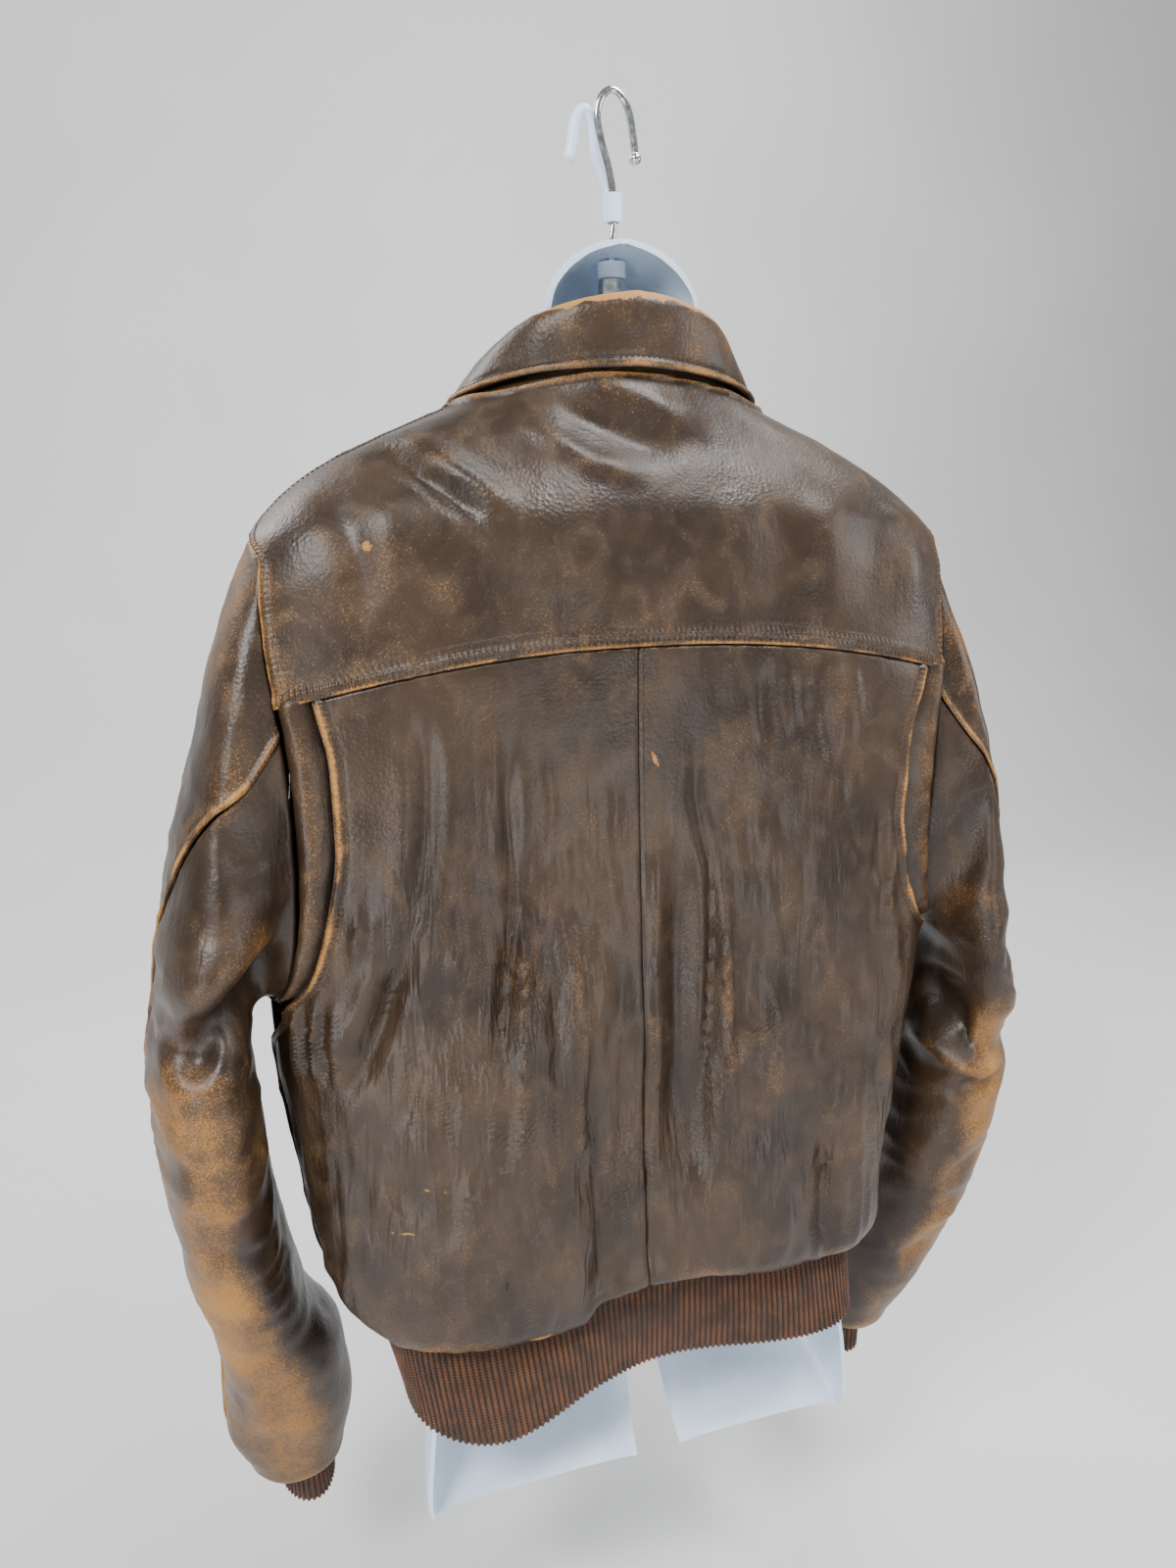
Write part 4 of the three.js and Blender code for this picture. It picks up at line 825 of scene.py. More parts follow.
def new_object(name: str, points: Array, faces: list, materials: Sequence[Material],
               sharp: float = 50.0) -> Object:
    """A smooth-shaded object from points in the garment's frame."""
    mesh = bpy.data.meshes.new(name)
    mesh.from_pydata(((points + SHIFT) * MM).tolist(), [], faces)
    for material in materials:
        mesh.materials.append(material)
    smooth(mesh, sharp)
    return put(name, mesh)


def give_values(obj: Object, **values: Array) -> None:
    """Floats that a shell carries at the points of its outside, and again at those of its inside."""
    for name, value in values.items():
        attribute = obj.data.attributes.new(name, "FLOAT", "POINT")
        attribute.data.foreach_set("value", np.tile(value.ravel(), 2).astype(np.float32))


def give_uv(obj: Object, uv: Array) -> None:
    """A UV map for a shell, from a pair of values at each point of its outside."""
    layer = obj.data.uv_layers.new(name="UVMap")
    corners = np.zeros(len(obj.data.loops), np.int32)
    obj.data.loops.foreach_get("vertex_index", corners)
    layer.data.foreach_set("uv", np.tile(uv.reshape(-1, 2), (2, 1))[corners].astype(np.float32).ravel())


def shell_faces(rows: int, cols: int, ring: bool) -> tuple[Array, int]:
    """The quads of a closed shell of two grids, and how many of them are on the outer one."""
    wrap = cols if ring else cols - 1
    i, j = (k.ravel() for k in np.meshgrid(np.arange(rows - 1), np.arange(wrap), indexing="ij"))
    k, size = (j + 1) % cols, rows * cols
    outer = np.stack([i * cols + j, i * cols + k, (i + 1) * cols + k, (i + 1) * cols + j], 1)
    parts = [outer, outer[:, ::-1] + size]
    low, nxt, top = np.arange(wrap), (np.arange(wrap) + 1) % cols, (rows - 1) * cols
    parts.append(np.stack([low, low + size, nxt + size, nxt], 1))
    parts.append(np.stack([top + low, top + nxt, top + nxt + size, top + low + size], 1))
    if not ring:
        down, up = np.arange(rows - 1) * cols, (np.arange(rows - 1) + 1) * cols
        last = cols - 1
        parts.append(np.stack([down, up, up + size, down + size], 1))
        parts.append(np.stack([down + last, down + last + size, up + last + size, up + last], 1))
    return np.concatenate(parts), len(outer)


def shell(name: str, outer: Array, inner: Array, materials: Sequence[Material],
          ring: bool = False, sharp: float = 50.0) -> Object:
    """A closed shell between two grids of points, the first of them outside.

    Args:
        name: The object's name.
        outer: Points of the outside, (rows, columns, 3).
        inner: Points of the inside, the same shape.
        materials: The outside's finish, and the inside's if it has its own.
        ring: Whether the last column joins the first.
        sharp: Edges over this angle, in degrees, stay sharp.

    Returns:
        The object, its faces pointing out.
    """
    rows, cols = outer.shape[:2]
    faces, outside = shell_faces(rows, cols, ring)
    points = np.concatenate([outer.reshape(-1, 3), inner.reshape(-1, 3)])
    a, b, c, d = (points[faces[:, k]] for k in range(4))
    volume = (a * np.cross(b, c)).sum() + (a * np.cross(c, d)).sum()
    if volume < 0:
        faces = faces[:, ::-1]
    made = new_object(name, points, faces.tolist(), materials, sharp)
    if len(materials) > 1:
        index = np.zeros(len(faces), np.int32)
        index[outside:2 * outside] = 1
        made.data.polygons.foreach_set("material_index", index)
    return made


def run_along(p: Array, axis: int) -> Array:
    """The distance along each line of a grid, or along one line, from its first point."""
    step = np.linalg.norm(np.diff(p, axis=axis), axis=-1)
    pad = [(0, 0)] * step.ndim
    pad[axis] = (1, 0)
    return np.pad(np.cumsum(step, axis=axis), pad)


def spread(total: float, pitch: float, low: Sequence[float], high: Sequence[float]) -> Array:
    """Distances from 0 to total: the given ones from each end, and even steps between them."""
    first, last = np.array(low, float), total - np.array(high[::-1], float)
    count = max(2, round((last[0] - first[-1]) / pitch))
    return np.concatenate([first, np.linspace(first[-1], last[0], count + 1)[1:-1], last])


def even_places(place: Callable, point: Callable, along_s: bool, at: float, pitch: float,
                low: Sequence[float], high: Sequence[float]) -> Array:
    """Values of s or t whose points on the surface are as far apart as spread says."""
    t = np.linspace(0, 1, 400)
    other = np.full_like(t, at)
    p = point(*(place(t, other) if along_s else place(other, t)))
    run = run_along(p, 0)
    return np.interp(spread(run[-1], pitch, low, high), run, t)


# ------------------------------------------------------------------ leather pieces

@dataclass(frozen=True)
class EdgeFinish:
    """How one edge of a leather piece is sewn, in mm."""

    roll: float = 1.3  # how far the edge sinks into its seam
    band: float = 0.0  # width of the doubled leather along it
    rise: float = 0.0  # how far that band stands up
    stitches: tuple[float, ...] = ()  # rows of stitches, measured from the edge
    pucker: float = 0.0  # height of the puckers across the band
    wear: float = 0.0  # how far it is rubbed to tan
    crest: float = 2.2  # where along the band it is rubbed most

    def lift(self, d: Array, ripple: Array) -> Array:
        """The relief at distance d from the edge."""
        height = -self.roll * (1 - ease(d / 2.2))
        if self.band:
            round_top = np.sin(clamp(d / self.band) * math.pi) ** 0.5
            flat = 1 - ease((d - self.band + 1.2) / 2.4)
            height = height + self.rise * np.maximum(flat * 0.55, round_top * 0.85) * flat
            height = height + self.pucker * ripple * bell(d, self.band * 1.25)
        for row in self.stitches:
            height = height - 0.5 * bell(d - row, 0.9)
        return height

    def rubbed(self, d: Array, uneven: Array) -> Array:
        """The wear at distance d from the edge."""
        line = bell(d - self.crest, 1.5) * (0.55 + 0.95 * uneven)
        return self.wear * (line + 0.16 * bell(d, 12))


PLAIN = EdgeFinish()
INSIDE = EdgeFinish(roll=0.0)
YOKE_FOOT = EdgeFinish(0.2, 9.0, 1.6, (2.4, 7.6), 0.9, 0.75, 0.6)
YOKE_SIDE = EdgeFinish(0.2, 8.5, 1.5, (2.2, 7.4), 0.4, 1.0, 0.8)
WELT = EdgeFinish(0.0, 6.0, 3.2, (7.6,), 0.3, 0.9, 2.6)
ARM_WELT = EdgeFinish(0.2, 5.5, 2.6, (7.0,), 0.25, 1.15, 2.4)
ZIP_EDGE = EdgeFinish(0.2, 7.0, 1.0, (1.8, 6.2), 0.2, 0.5)
UNDER_WELT = EdgeFinish(roll=2.0, wear=0.25)
FINE = (0, 0.6, 1.3, 2.1, 3.0, 4.0, 5.1, 6.3, 7.6, 9.0, 11.0, 13.5)  # rows of points by a worked edge
COARSE = (0, 0.8, 1.8, 3.2, 5.5)  # and by a plain one
BARE = 99.0  # a distance at which no edge is felt
COARSE_GRAIN = (  # where on the back the grain is coarsest: x, z, half width and half height
    (165, 62, 62, 50), (-165, 95, 45, 60), (-205, 240, 24, 70), (30, 150, 20, 40))


@dataclass
class LeatherPiece:
    """One cut and sewn piece of leather: part of a surface, with relief and a thin wall."""

    name: str
    surface: object
    place: Callable
    edges: tuple[EdgeFinish, EdgeFinish, EdgeFinish, EdgeFinish]  # s 0, s 1, t 0, t 1
    relief: Callable[[Array, Array, Array], Values]
    cut: Triple  # width and length in metres, and area in square metres
    pitch: float = 3.1  # between points, away from the edges
    top_lines: tuple[float, ...] = ()  # rows of points by the top edge, where they are its own
    s_at: float = 0.5  # the s along which the rows are spaced
    stitch_lines: list[Array] = field(default_factory=list)

    def grid(self) -> Pair:
        """The piece's s and t, closer together where an edge is worked."""
        rows = [FINE if edge.band else COARSE for edge in self.edges]
        rows[3] = self.top_lines or rows[3]
        s = even_places(self.place, self.surface.point, True, 0.55, self.pitch, *rows[:2])
        t = even_places(self.place, self.surface.point, False, self.s_at, self.pitch, *rows[2:])
        return np.meshgrid(s, t)

    def build(self, finishes: Finishes) -> Object:
        """Makes the piece's object and notes its lines of stitches."""
        s, t = self.grid()
        a, b = self.place(s, t)
        base, normal = self.surface.point(a, b), self.surface.normal(a, b)
        gaps, sewn = self.sewn(base, *self.relief(base, a, b))
        outer = base + normal * sewn.pop("lift")[..., None]
        inner = outer - normal * LEATHER
        for grid in (outer, inner):
            grid[:, 0] += unit(grid[:, 1] - grid[:, 0]) * SEAM_GAP
            grid[:, -1] += unit(grid[:, -2] - grid[:, -1]) * SEAM_GAP
        made = shell(self.name + "_leather", outer, inner, (finishes[Finish.LEATHER], finishes[Finish.FLESH]))
        grain = self.grain(base)
        give_values(made, grain=grain, creased=self.creased(base, grain), **sewn)
        self.note_stitches(outer + normal * 0.25, gaps)
        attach(made, JACKET)
        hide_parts(self.name)
        width, length, area = self.cut
        log.info("%s: %d points", made.name, len(made.data.vertices))
        return made

    def sewn(self, base: Array, lift: Array, wear: Array,
             hollow: Array) -> tuple[tuple[Array, ...], dict[str, Array]]:
        """Adds the worked edges to the piece's own relief.

        Args:
            base: The piece's points, with no relief.
            lift: How far its relief lifts each point.
            wear: How far each point is rubbed.
            hollow: How deep in a hollow each point is.

        Returns:
            Each point's distance from every edge, and the finished values by name.
        """
        across_run, up_run = run_along(base, 1), run_along(base, 0)
        gaps = (across_run, across_run[:, -1:] - across_run, up_run, up_run[-1:] - up_run)
        ripple = TINY(base * np.array([1 / 6.5, 1 / 6.5, 1 / 9.0])) + 0.5 * TINY(base / 3.4)
        uneven = SOFT(base / 22 + 60) + 0.5 * SOFT(base / 7)
        near = np.minimum.reduce([np.where(e.roll > 0, g, BARE) for e, g in zip(self.edges, gaps)])
        lift = lift * (0.25 + 0.75 * ease(near / 9))
        seam_run, seam_band = up_run.copy(), np.zeros_like(up_run)
        for k, (edge, gap) in enumerate(zip(self.edges, gaps)):
            band = edge.pucker * ease(1.5 - gap / max(edge.band, 1)) * ease(gap / 1.5)
            band = band * (0.4 + clamp(uneven + 0.6))
            seam_run = np.where(band > seam_band, up_run if k < 2 else across_run, seam_run)
            seam_band = np.maximum(band, seam_band)
            lift = lift + edge.lift(gap, ripple)
            wear = wear + edge.rubbed(gap, uneven)
            # painted shade along each rolled edge and in each row of stitches
            if edge.roll > 1:
                hollow = hollow + bell(gap, 1.4) * 0.8
            for row in edge.stitches:
                hollow = hollow + 0.35 * bell(gap - row, 0.8)
        return gaps, {"lift": lift, "wear": wear, "hollow": hollow,
                      "seam_run": seam_run, "seam_band": seam_band}

    @staticmethod
    def grain(p: Array) -> Array:
        """How coarse the leather's pebbles are at points p."""
        coarse = 0.12 + 0.35 * ease(SOFT(p / 50 + 40) * 1.6)
        for x, z, width, height in COARSE_GRAIN:
            patch = bell(p[..., 0] - x, width) * bell(p[..., 2] - z, height)
            coarse = coarse + 0.9 * patch * (p[..., 1] > 0)
        return coarse

    def creased(self, p: Array, grain: Array) -> Array:
        """How finely crinkled the leather is at points p: most on the lower half of the body."""
        patchy = 0.3 + 1.2 * ease(SOFT(p / np.array([38, 60, 110])) * 1.4 + 0.4)
        share = np.full(p.shape[:-1], 0.2)
        if isinstance(self.surface, Torso):
            low = ease((470 - p[..., 2]) / 170) * (1 - 0.5 * ease((90 - p[..., 2]) / 60))
            share = low * (0.55 + 0.45 * ease((230 - np.abs(p[..., 0])) / 60))
        return (1 - 0.6 * clamp(grain)) * patchy * (0.1 + 0.9 * share)

    def note_stitches(self, outer: Array, gaps: tuple[Array, ...]) -> None:
        """Keeps the lines on which this piece's stitches lie."""
        for k, (edge, gap) in enumerate(zip(self.edges, gaps)):
            for row in edge.stitches:
                nearest = np.abs(gap - row).argmin(1 if k < 2 else 0)
                every = np.arange(len(nearest))
                line = outer[every, nearest] if k < 2 else outer[nearest, every]
                self.stitch_lines.append(line[2:-2])


def body_relief(folds: Sequence[Fold], back: bool) -> Callable:
    """The relief of a torso piece: its folds, with soft unevenness and crumples towards the hem."""
    def relief(p: Array, u: Array, v: Array) -> Values:
        """Lift, wear and hollow at points p."""
        x, z = p[..., 0], p[..., 2]
        facing = ease(np.sin(u) * (2.5 if back else -2.5))
        big = sum(f.lift(x, z) for f in folds) * facing * ease((v - 16) / 30)
        # upright crumples with finer ones on them, growing towards the hem
        low = 1 - ease((v - 60) / 330)
        warped = p + 9 * np.stack([SOFT(p / 60), SOFT(p / 60 + 7), SOFT(p / 60 + 13)], -1)
        upright = CRUMPLE(warped * np.array([1 / 17, 1 / 24, 1 / 95]))
        fine = CRUMPLE(warped / np.array([7, 10, 46]) + 5)
        crumple = (1 - 2 * np.abs(upright)) * 1.7 * low + fine * 0.9 * low
        # the slow unevenness of the hide
        even = SOFT(p / 70) * 1.6 + SOFT(p / 28 + 3) * 0.55 + CRUMPLE(p / 11 + 9) * 0.16
        lift = 1.55 * big + 1.5 * crumple * ease((v - 14) / 24) + even
        wear = 0.1 + 0.1 * SOFT(p / 55 + 21) + 0.16 * np.maximum(big, 0) / 3
        wear = wear + 0.35 * bell(v - 24, 9) * (0.5 + SOFT(p / 30))
        # painted shade in the fold troughs and crumples, and inside the turned hem's fold
        hollow = clamp(-(big + crumple * 0.6) / 9) * 0.6 + 0.6 * (1 - ease(v / 20))
        return lift, wear, hollow
    return relief


@dataclass(frozen=True)
class Back:
    """One of the two back panels, from the middle seam to the raised outer seam."""

    side: int
    cut: Triple

    def place(self, s: Array, t: Array) -> Pair:
        """Angle and station at s from the outer edge and t from the hem."""
        edge = outer_edge(PLEAT_SEAMS[self.side], 0.5, 0.0 if self.side > 0 else math.pi)
        u, v = edge(t)
        middle_top = torso.locate(SEAM_X, YOKE_Z)[1]
        share = ease(s * 1.15) * 0.999
        angle, station = mix(u, SEAM_ANGLE, s), mix(v, up_from(t, middle_top), share)
        u1, v1 = edge(np.array(1.0))
        x = mix(self.side * PLEAT_TOP, SEAM_X, s)
        top_u, top_v = torso.locate(x, yoke_seam(x))
        bend = clamp((t - 0.8) / 0.2) ** 2
        angle = angle + (top_u - mix(u1, SEAM_ANGLE, s)) * bend
        return angle, station + (top_v - mix(v1, middle_top, share)) * bend

    def piece(self, word: str) -> LeatherPiece:
        """The piece, dressed."""
        edges = (WELT, EdgeFinish(roll=1.7), INSIDE, EdgeFinish(roll=1.5))
        relief = body_relief(BACK_FOLDS + BACK_CRINKLES, True)
        return LeatherPiece(f"back_{word}", torso, self.place, edges, relief, self.cut, s_at=0.6)


@dataclass(frozen=True)
class Yoke:
    """The one-piece back yoke, from armhole to armhole."""

    cut: Triple = (0.47, 0.21, 0.0884)

    def place(self, s: Array, t: Array) -> Pair:
        """Angle and station at s from the left armhole and t from the lower seam."""
        halves = []
        for side in (1, -1):
            u, v = ARMHOLES[side][0](mix(CORNER_SHARE, 1, clamp(t / 0.5)))
            over = mix(SHOULDER_TIP, NECK_STATION, (t - 0.5) / 0.5)
            tip = 0.0 if side > 0 else math.pi
            halves.append((np.where(t <= 0.5, u, tip), np.where(t <= 0.5, v, over)))
        left = s < 0.5
        u, v = (np.where(left, halves[0][k], halves[1][k]) for k in (0, 1))
        inward = np.where(left, s * 2, (1 - s) * 2)
        foot = torso.locate(0.0, YOKE_Z)[1]
        share = ease(inward * 1.1)
        angle, station = mix(u, MIDDLE, inward), mix(v, mix(foot, NECK_STATION, t), share)
        corner = [ARMHOLES[k][0](np.array(CORNER_SHARE)) for k in (1, -1)]
        u0, v0 = (np.where(left, corner[0][k], corner[1][k]) for k in (0, 1))
        x = np.where(left, 1, -1) * mix(YOKE_HALF + 1, 0, inward)
        foot_u, foot_v = torso.locate(x, yoke_seam(x))
        bend = clamp(1 - t / 0.3) ** 2
        angle = angle + (foot_u - mix(u0, MIDDLE, inward)) * bend
        return angle, station + (foot_v - mix(v0, foot, share)) * bend

    def piece(self) -> LeatherPiece:
        """The piece, dressed."""
        plain = body_relief(YOKE_FOLDS, True)

        def relief(p: Array, u: Array, v: Array) -> Values:
            """Also the second edge that runs just below the collar, and the rubbed shoulders."""
            lift, wear, hollow = plain(p, u, v)
            turn = np.abs(np.degrees(u - MIDDLE))
            edge = LEAF_STATION(turn) - np.where(u > MIDDLE, 6 * ease(turn / 60), 0) - 4.5
            lift = lift + 2.0 * ease((v - edge + 2.5) / 2.5) + 1.6 * bell(v - edge, 2.0)
            wear = wear + 0.6 * bell(v - edge, 1.8)
            # painted shade just below the raised edge under the collar
            hollow = hollow + 0.6 * bell(v - edge + 3.6, 1.2)
            return lift, wear + 0.12 * ease((np.abs(p[..., 0]) - 150) / 80), hollow

        edges = (YOKE_SIDE, YOKE_SIDE, YOKE_FOOT, INSIDE)
        return LeatherPiece("yoke", torso, self.place, edges, relief, self.cut, pitch=3.0,
                            top_lines=tuple(np.arange(0, 44, 1.6)))


@dataclass(frozen=True)
class Front:
    """One of the two fronts, from its side seam and armhole to the zip."""

    side: int
    cut: Triple

    def place(self, s: Array, t: Array) -> Pair:
        """Angle and station at s from the outer edge and t from the hem."""
        tip = 0.0 if self.side > 0 else -math.pi

        def along(k: Array) -> Pair:
            """Up the armhole, then along the shoulder's seam."""
            u, v = ARMHOLES[self.side][1](clamp(k / 0.7))
            over = mix(SHOULDER_TIP, NECK_STATION, (k - 0.7) / 0.3)
            return np.where(k < 0.7, u, tip), np.where(k < 0.7, v, over)

        u, v = outer_edge(along, 1 / 3, tip)(t)
        station = up_from(t, NECK_STATION)
        zip_angle = -MIDDLE + self.side * np.arcsin(ZIP_HALF / torso.ring["left"](station))
        return mix(u, zip_angle, s), mix(v, station, ease(s * 1.1))

    def piece(self, word: str) -> LeatherPiece:
        """The piece, dressed."""
        edges = (PLAIN, ZIP_EDGE, INSIDE, INSIDE)
        relief = body_relief(FRONT_FOLDS, False)
        return LeatherPiece(f"front_{word}", torso, self.place, edges, relief, self.cut, pitch=3.5)


@dataclass(frozen=True)
class Pleat:
    """The gusset that folds between the back's raised seam and the sleeve."""

    side: int
    cut: Triple

    def point(self, s: Array, t: Array) -> Array:
        """A point of the rounded fold."""
        inner = PLEAT_SEAMS[self.side](mix(0.1, 1, t))
        outer = ARMHOLES[self.side][0](mix(0.08, 1, t) * CORNER_SHARE)
        u, v = (mix(i, o, s) for i, o in zip(inner, outer))
        depth = -4.5 + 10.5 * np.sin(math.pi * clamp(s / 1.12) ** 1.1) ** 1.1 - 2.0 * s
        return torso.point(u, v) + torso.normal(u, v) * depth[..., None]

    def normal(self, s: Array, t: Array) -> Array:
        """Outward normals."""
        return -self.side * normals_of(self.point, s, t, 0.02, 0.01)

    def place(self, s: Array, t: Array) -> Pair:
        """s and t, short of the seams."""
        return mix(0.0, 1.09, s), mix(0.0, 1.02, t)

    def piece(self, word: str) -> LeatherPiece:
        """The piece, dressed."""
        def relief(p: Array, s: Array, t: Array) -> Values:
            """Small cross wrinkles in the fold."""
            lift = 0.5 * CRUMPLE(p / np.array([9, 9, 14])) + 0.3 * SOFT(p / 24)
            # painted shade where the pleat tucks under at both its seams
            return lift, 0.1 + 0.2 * np.sin(math.pi * s) ** 3, 0.7 * (1 - np.sin(math.pi * clamp(s)))
        return LeatherPiece(f"pleat_{word}", self, self.place, (PLAIN,) * 4, relief, self.cut, pitch=1.6)


ARM_COLUMNS = "out_x out_z in_x in_z y deep"
ARMS = {
    1: sections(ARM_COLUMNS, [
        [0, 226, 577, 243, 283, -4, 62], [1, 243, 543, 247, 280, 0, 74], [2, 259, 498, 250, 275, 4, 82],
        [3, 274, 444, 252, 267, 8, 86], [4, 291, 385, 254, 255, 12, 86], [5, 302, 336, 254, 240, 15, 84],
        [6, 311, 279, 254, 222, 17, 82], [7, 317, 237, 252, 200, 17, 79], [8, 316, 187, 248, 168, 12, 75],
        [9, 308, 111, 240, 105, 2, 68], [10, 294, 37, 226, 42, -12, 62], [11, 289, -12, 204, -2, -23, 57],
        [12, 290, -61, 200, -50, -33, 52], [13, 280, -94, 205, -86, -40, 48],
        [13.6, 276, -104, 207, -99, -42, 46], [14, 268, -107, 212, -103, -43, 43],
        [14.4, 262, -104, 216, -101, -43, 40.5],
        [15, 260, -96, 217, -94, -43, 38.5]]),
    -1: sections(ARM_COLUMNS, [
        [0, 226, 577, 243, 283, -4, 62], [1, 240, 543, 247, 280, 0, 74], [2, 256, 498, 250, 275, 4, 81],
        [3, 265, 444, 252, 267, 8, 84], [4, 276, 385, 254, 255, 11, 82], [5, 286, 336, 254, 240, 12, 79],
        [6, 296, 279, 254, 222, 12, 76], [7, 306, 232, 250, 200, 12, 73], [8, 319, 165, 243, 145, 8, 68],
        [9, 317, 105, 234, 85, 0, 64], [10, 309, 38, 226, 28, -12, 60], [11, 297, -18, 215, -20, -26, 55],
        [12, 284, -64, 205, -62, -38, 50], [13, 271, -94, 203, -88, -46, 46],
        [13.6, 268, -105, 204, -100, -49, 44.5], [14, 260, -109, 206.5, -105, -50, 42],
        [14.4, 254, -106, 209.5, -103, -50, 39],
        [15, 252, -98, 210.5, -95, -50, 37.5]]),
}
ARM_SQUARE, CAP_RINGS, ARM_RINGS = 2.3, 2.6, 15
ELBOW_RINGS = [0, 1, 2, 3, 4, 5, 7, 11, 15]
ELBOW_SEAMS = {1: through(ELBOW_RINGS, np.radians([88, 83, 71, 52, 31, 12, -8, -6, 14])),
               -1: through(ELBOW_RINGS, np.radians([88, 84, 76, 66, 54, 42, 24, 4, 14]))}
INNER_SEAM = through([0, 5, 15], np.radians([200, 214, 216]))


@dataclass(frozen=True)
class Sleeve:
    """A sleeve's surface: w runs round it from the shoulder's tip over the back, t down its rings."""

    side: int

    def ring_point(self, w: Array, t: Array) -> Array:
        """A point of the plain tube."""
        arm = {k: curve(t) for k, curve in ARMS[self.side].items()}
        c, s = np.cos(w), np.sin(w)
        reach = squared(c, s, ARM_SQUARE)
        x, z = (mix(arm["in" + k], arm["out" + k], (1 + c * reach) / 2) for k in ("_x", "_z"))
        return np.stack([self.side * x, arm["y"] + arm["deep"] * s * reach, z], -1)

    def armhole(self, w: Array) -> Array:
        """The armhole's point that w runs to."""
        turn = np.mod(w, 2 * math.pi)
        back, front = ARMHOLES[self.side]
        b, f = back(1 - clamp(turn / math.pi)), front(clamp(turn / math.pi - 1))
        behind = turn <= math.pi
        return torso.point(np.where(behind, b[0], f[0]), np.where(behind, b[1], f[1]))

    def point(self, w: Array, t: Array) -> Array:
        """A point of the sleeve with its head and its elbow's folds."""
        w, t = np.broadcast_arrays(np.asarray(w, float), np.asarray(t, float))
        pull = self.armhole(w) - self.ring_point(w, np.zeros_like(t))
        p = self.ring_point(w, t) + pull * (clamp(1 - t / CAP_RINGS) ** 2)[..., None]
        lift = sum(swell(np.abs(p[..., 0]), p[..., 2], run) for run in SLEEVE_SWELLS[self.side])
        p[..., 1] += lift * ease(np.sin(w) * 1.8) * ease(t / 1.2)
        return p

    def normal(self, w: Array, t: Array) -> Array:
        """Outward normals."""
        return -self.side * normals_of(self.point, w, np.maximum(t, 0.02), 0.01, 0.02)

    def relief(self, p: Array, w: Array, t: Array) -> Values:
        """Folds at the elbow, soft unevenness, and wear that grows down the forearm."""
        x, z = np.abs(p[..., 0]), p[..., 2]
        facing = ease(np.sin(w) * 2.2)
        big = sum(f.lift(x, z) for f in SLEEVE_FOLDS[self.side]) * (facing + 0.5 * ease(-np.sin(w) * 2.2))
        big = 1.3 * big * ease((t - 0.4) / 1.2)
        # ridges round the sleeve, most of them at the elbow
        elbow = bell(t - 6.5, 3.2)
        warped = p + 10 * np.stack([SOFT(p / 50), SOFT(p / 50 + 5), SOFT(p / 50 + 11)], -1)
        around = (1 - 2 * np.abs(CRUMPLE(warped / np.array([60, 60, 24])))) * 1.7 * (0.35 + elbow)
        even = SOFT(p / 60 + 17) * 1.7 + SOFT(p / 26 + 30) * 0.55 + CRUMPLE(p / 11) * 0.18
        lift = (big + around + even) * (1 - ease((t - 13.2) / 0.8) * 0.6)
        # rubbed down the outside of the forearm, at the head and at the wrist
        outer = ease(np.cos(w - 0.5) * 1.4 + 0.3)
        low = ease((t - 4) / 4) * (1 - 0.5 * ease((t - 11) / 2.5))
        wear = 0.08 + 0.22 * SOFT(p / 48 + 50) + 0.5 * low * outer * (0.9 + 0.7 * SOFT(p / 60 + 90))
        wear = wear + 0.15 * np.maximum(big, 0) / 3
        wear = wear + 0.25 * bell(t - 1.0, 1.6) * ease(np.cos(w) * 1.5)
        wear = wear + 0.4 * bell(t - 13.9, 0.5)
        # painted shade in the fold troughs and where the sleeve runs into the cuff
        hollow = clamp(-(big + around * 0.4) / 9) * 0.8 + 0.5 * ease((t - 14.2) / 0.6)
        return lift, wear, hollow


@dataclass(frozen=True)
class SleevePart:
    """The upper or under piece of a two-piece sleeve."""

    side: int
    upper: bool
    cut: Triple

    def place(self, s: Array, t: Array) -> Pair:
        """Angle round the sleeve and ring, s from the outer seam and t from the armhole."""
        ring = t * ARM_RINGS
        back, inside = ELBOW_SEAMS[self.side](ring), INNER_SEAM(ring)
        if not self.upper:
            return mix(back, inside, s), ring
        tip = 2 / 3
        pivot = np.minimum(0, back - math.radians(24))
        first = mix(inside - 2 * math.pi, pivot, s / tip)
        return np.where(s < tip, first, mix(pivot, back, clamp((s - tip) / (1 - tip)) ** 1.4)), ring

    def piece(self, word: str) -> LeatherPiece:
        """The piece, dressed: the upper one carries the raised seam over the elbow."""
        surface = Sleeve(self.side)
        edges = (PLAIN, ARM_WELT, PLAIN, INSIDE) if self.upper else (UNDER_WELT, PLAIN, PLAIN, INSIDE)
        name = f"sleeve_{'top' if self.upper else 'under'}_{word}"
        return LeatherPiece(name, surface, self.place, edges, surface.relief, self.cut, pitch=3.6)


# ------------------------------------------------------------------ collar

STAND_HEIGHT = through([0, 45, 80, 110, 176], [37, 31, 20, 15, 10])
LEAF_STATION = through([0, 60, 95, 130, 176], [675, 669, 662, 640, 614])
LEAF_ANGLE = through([0, 110, 150, 176], [0, 108, 135, 148])


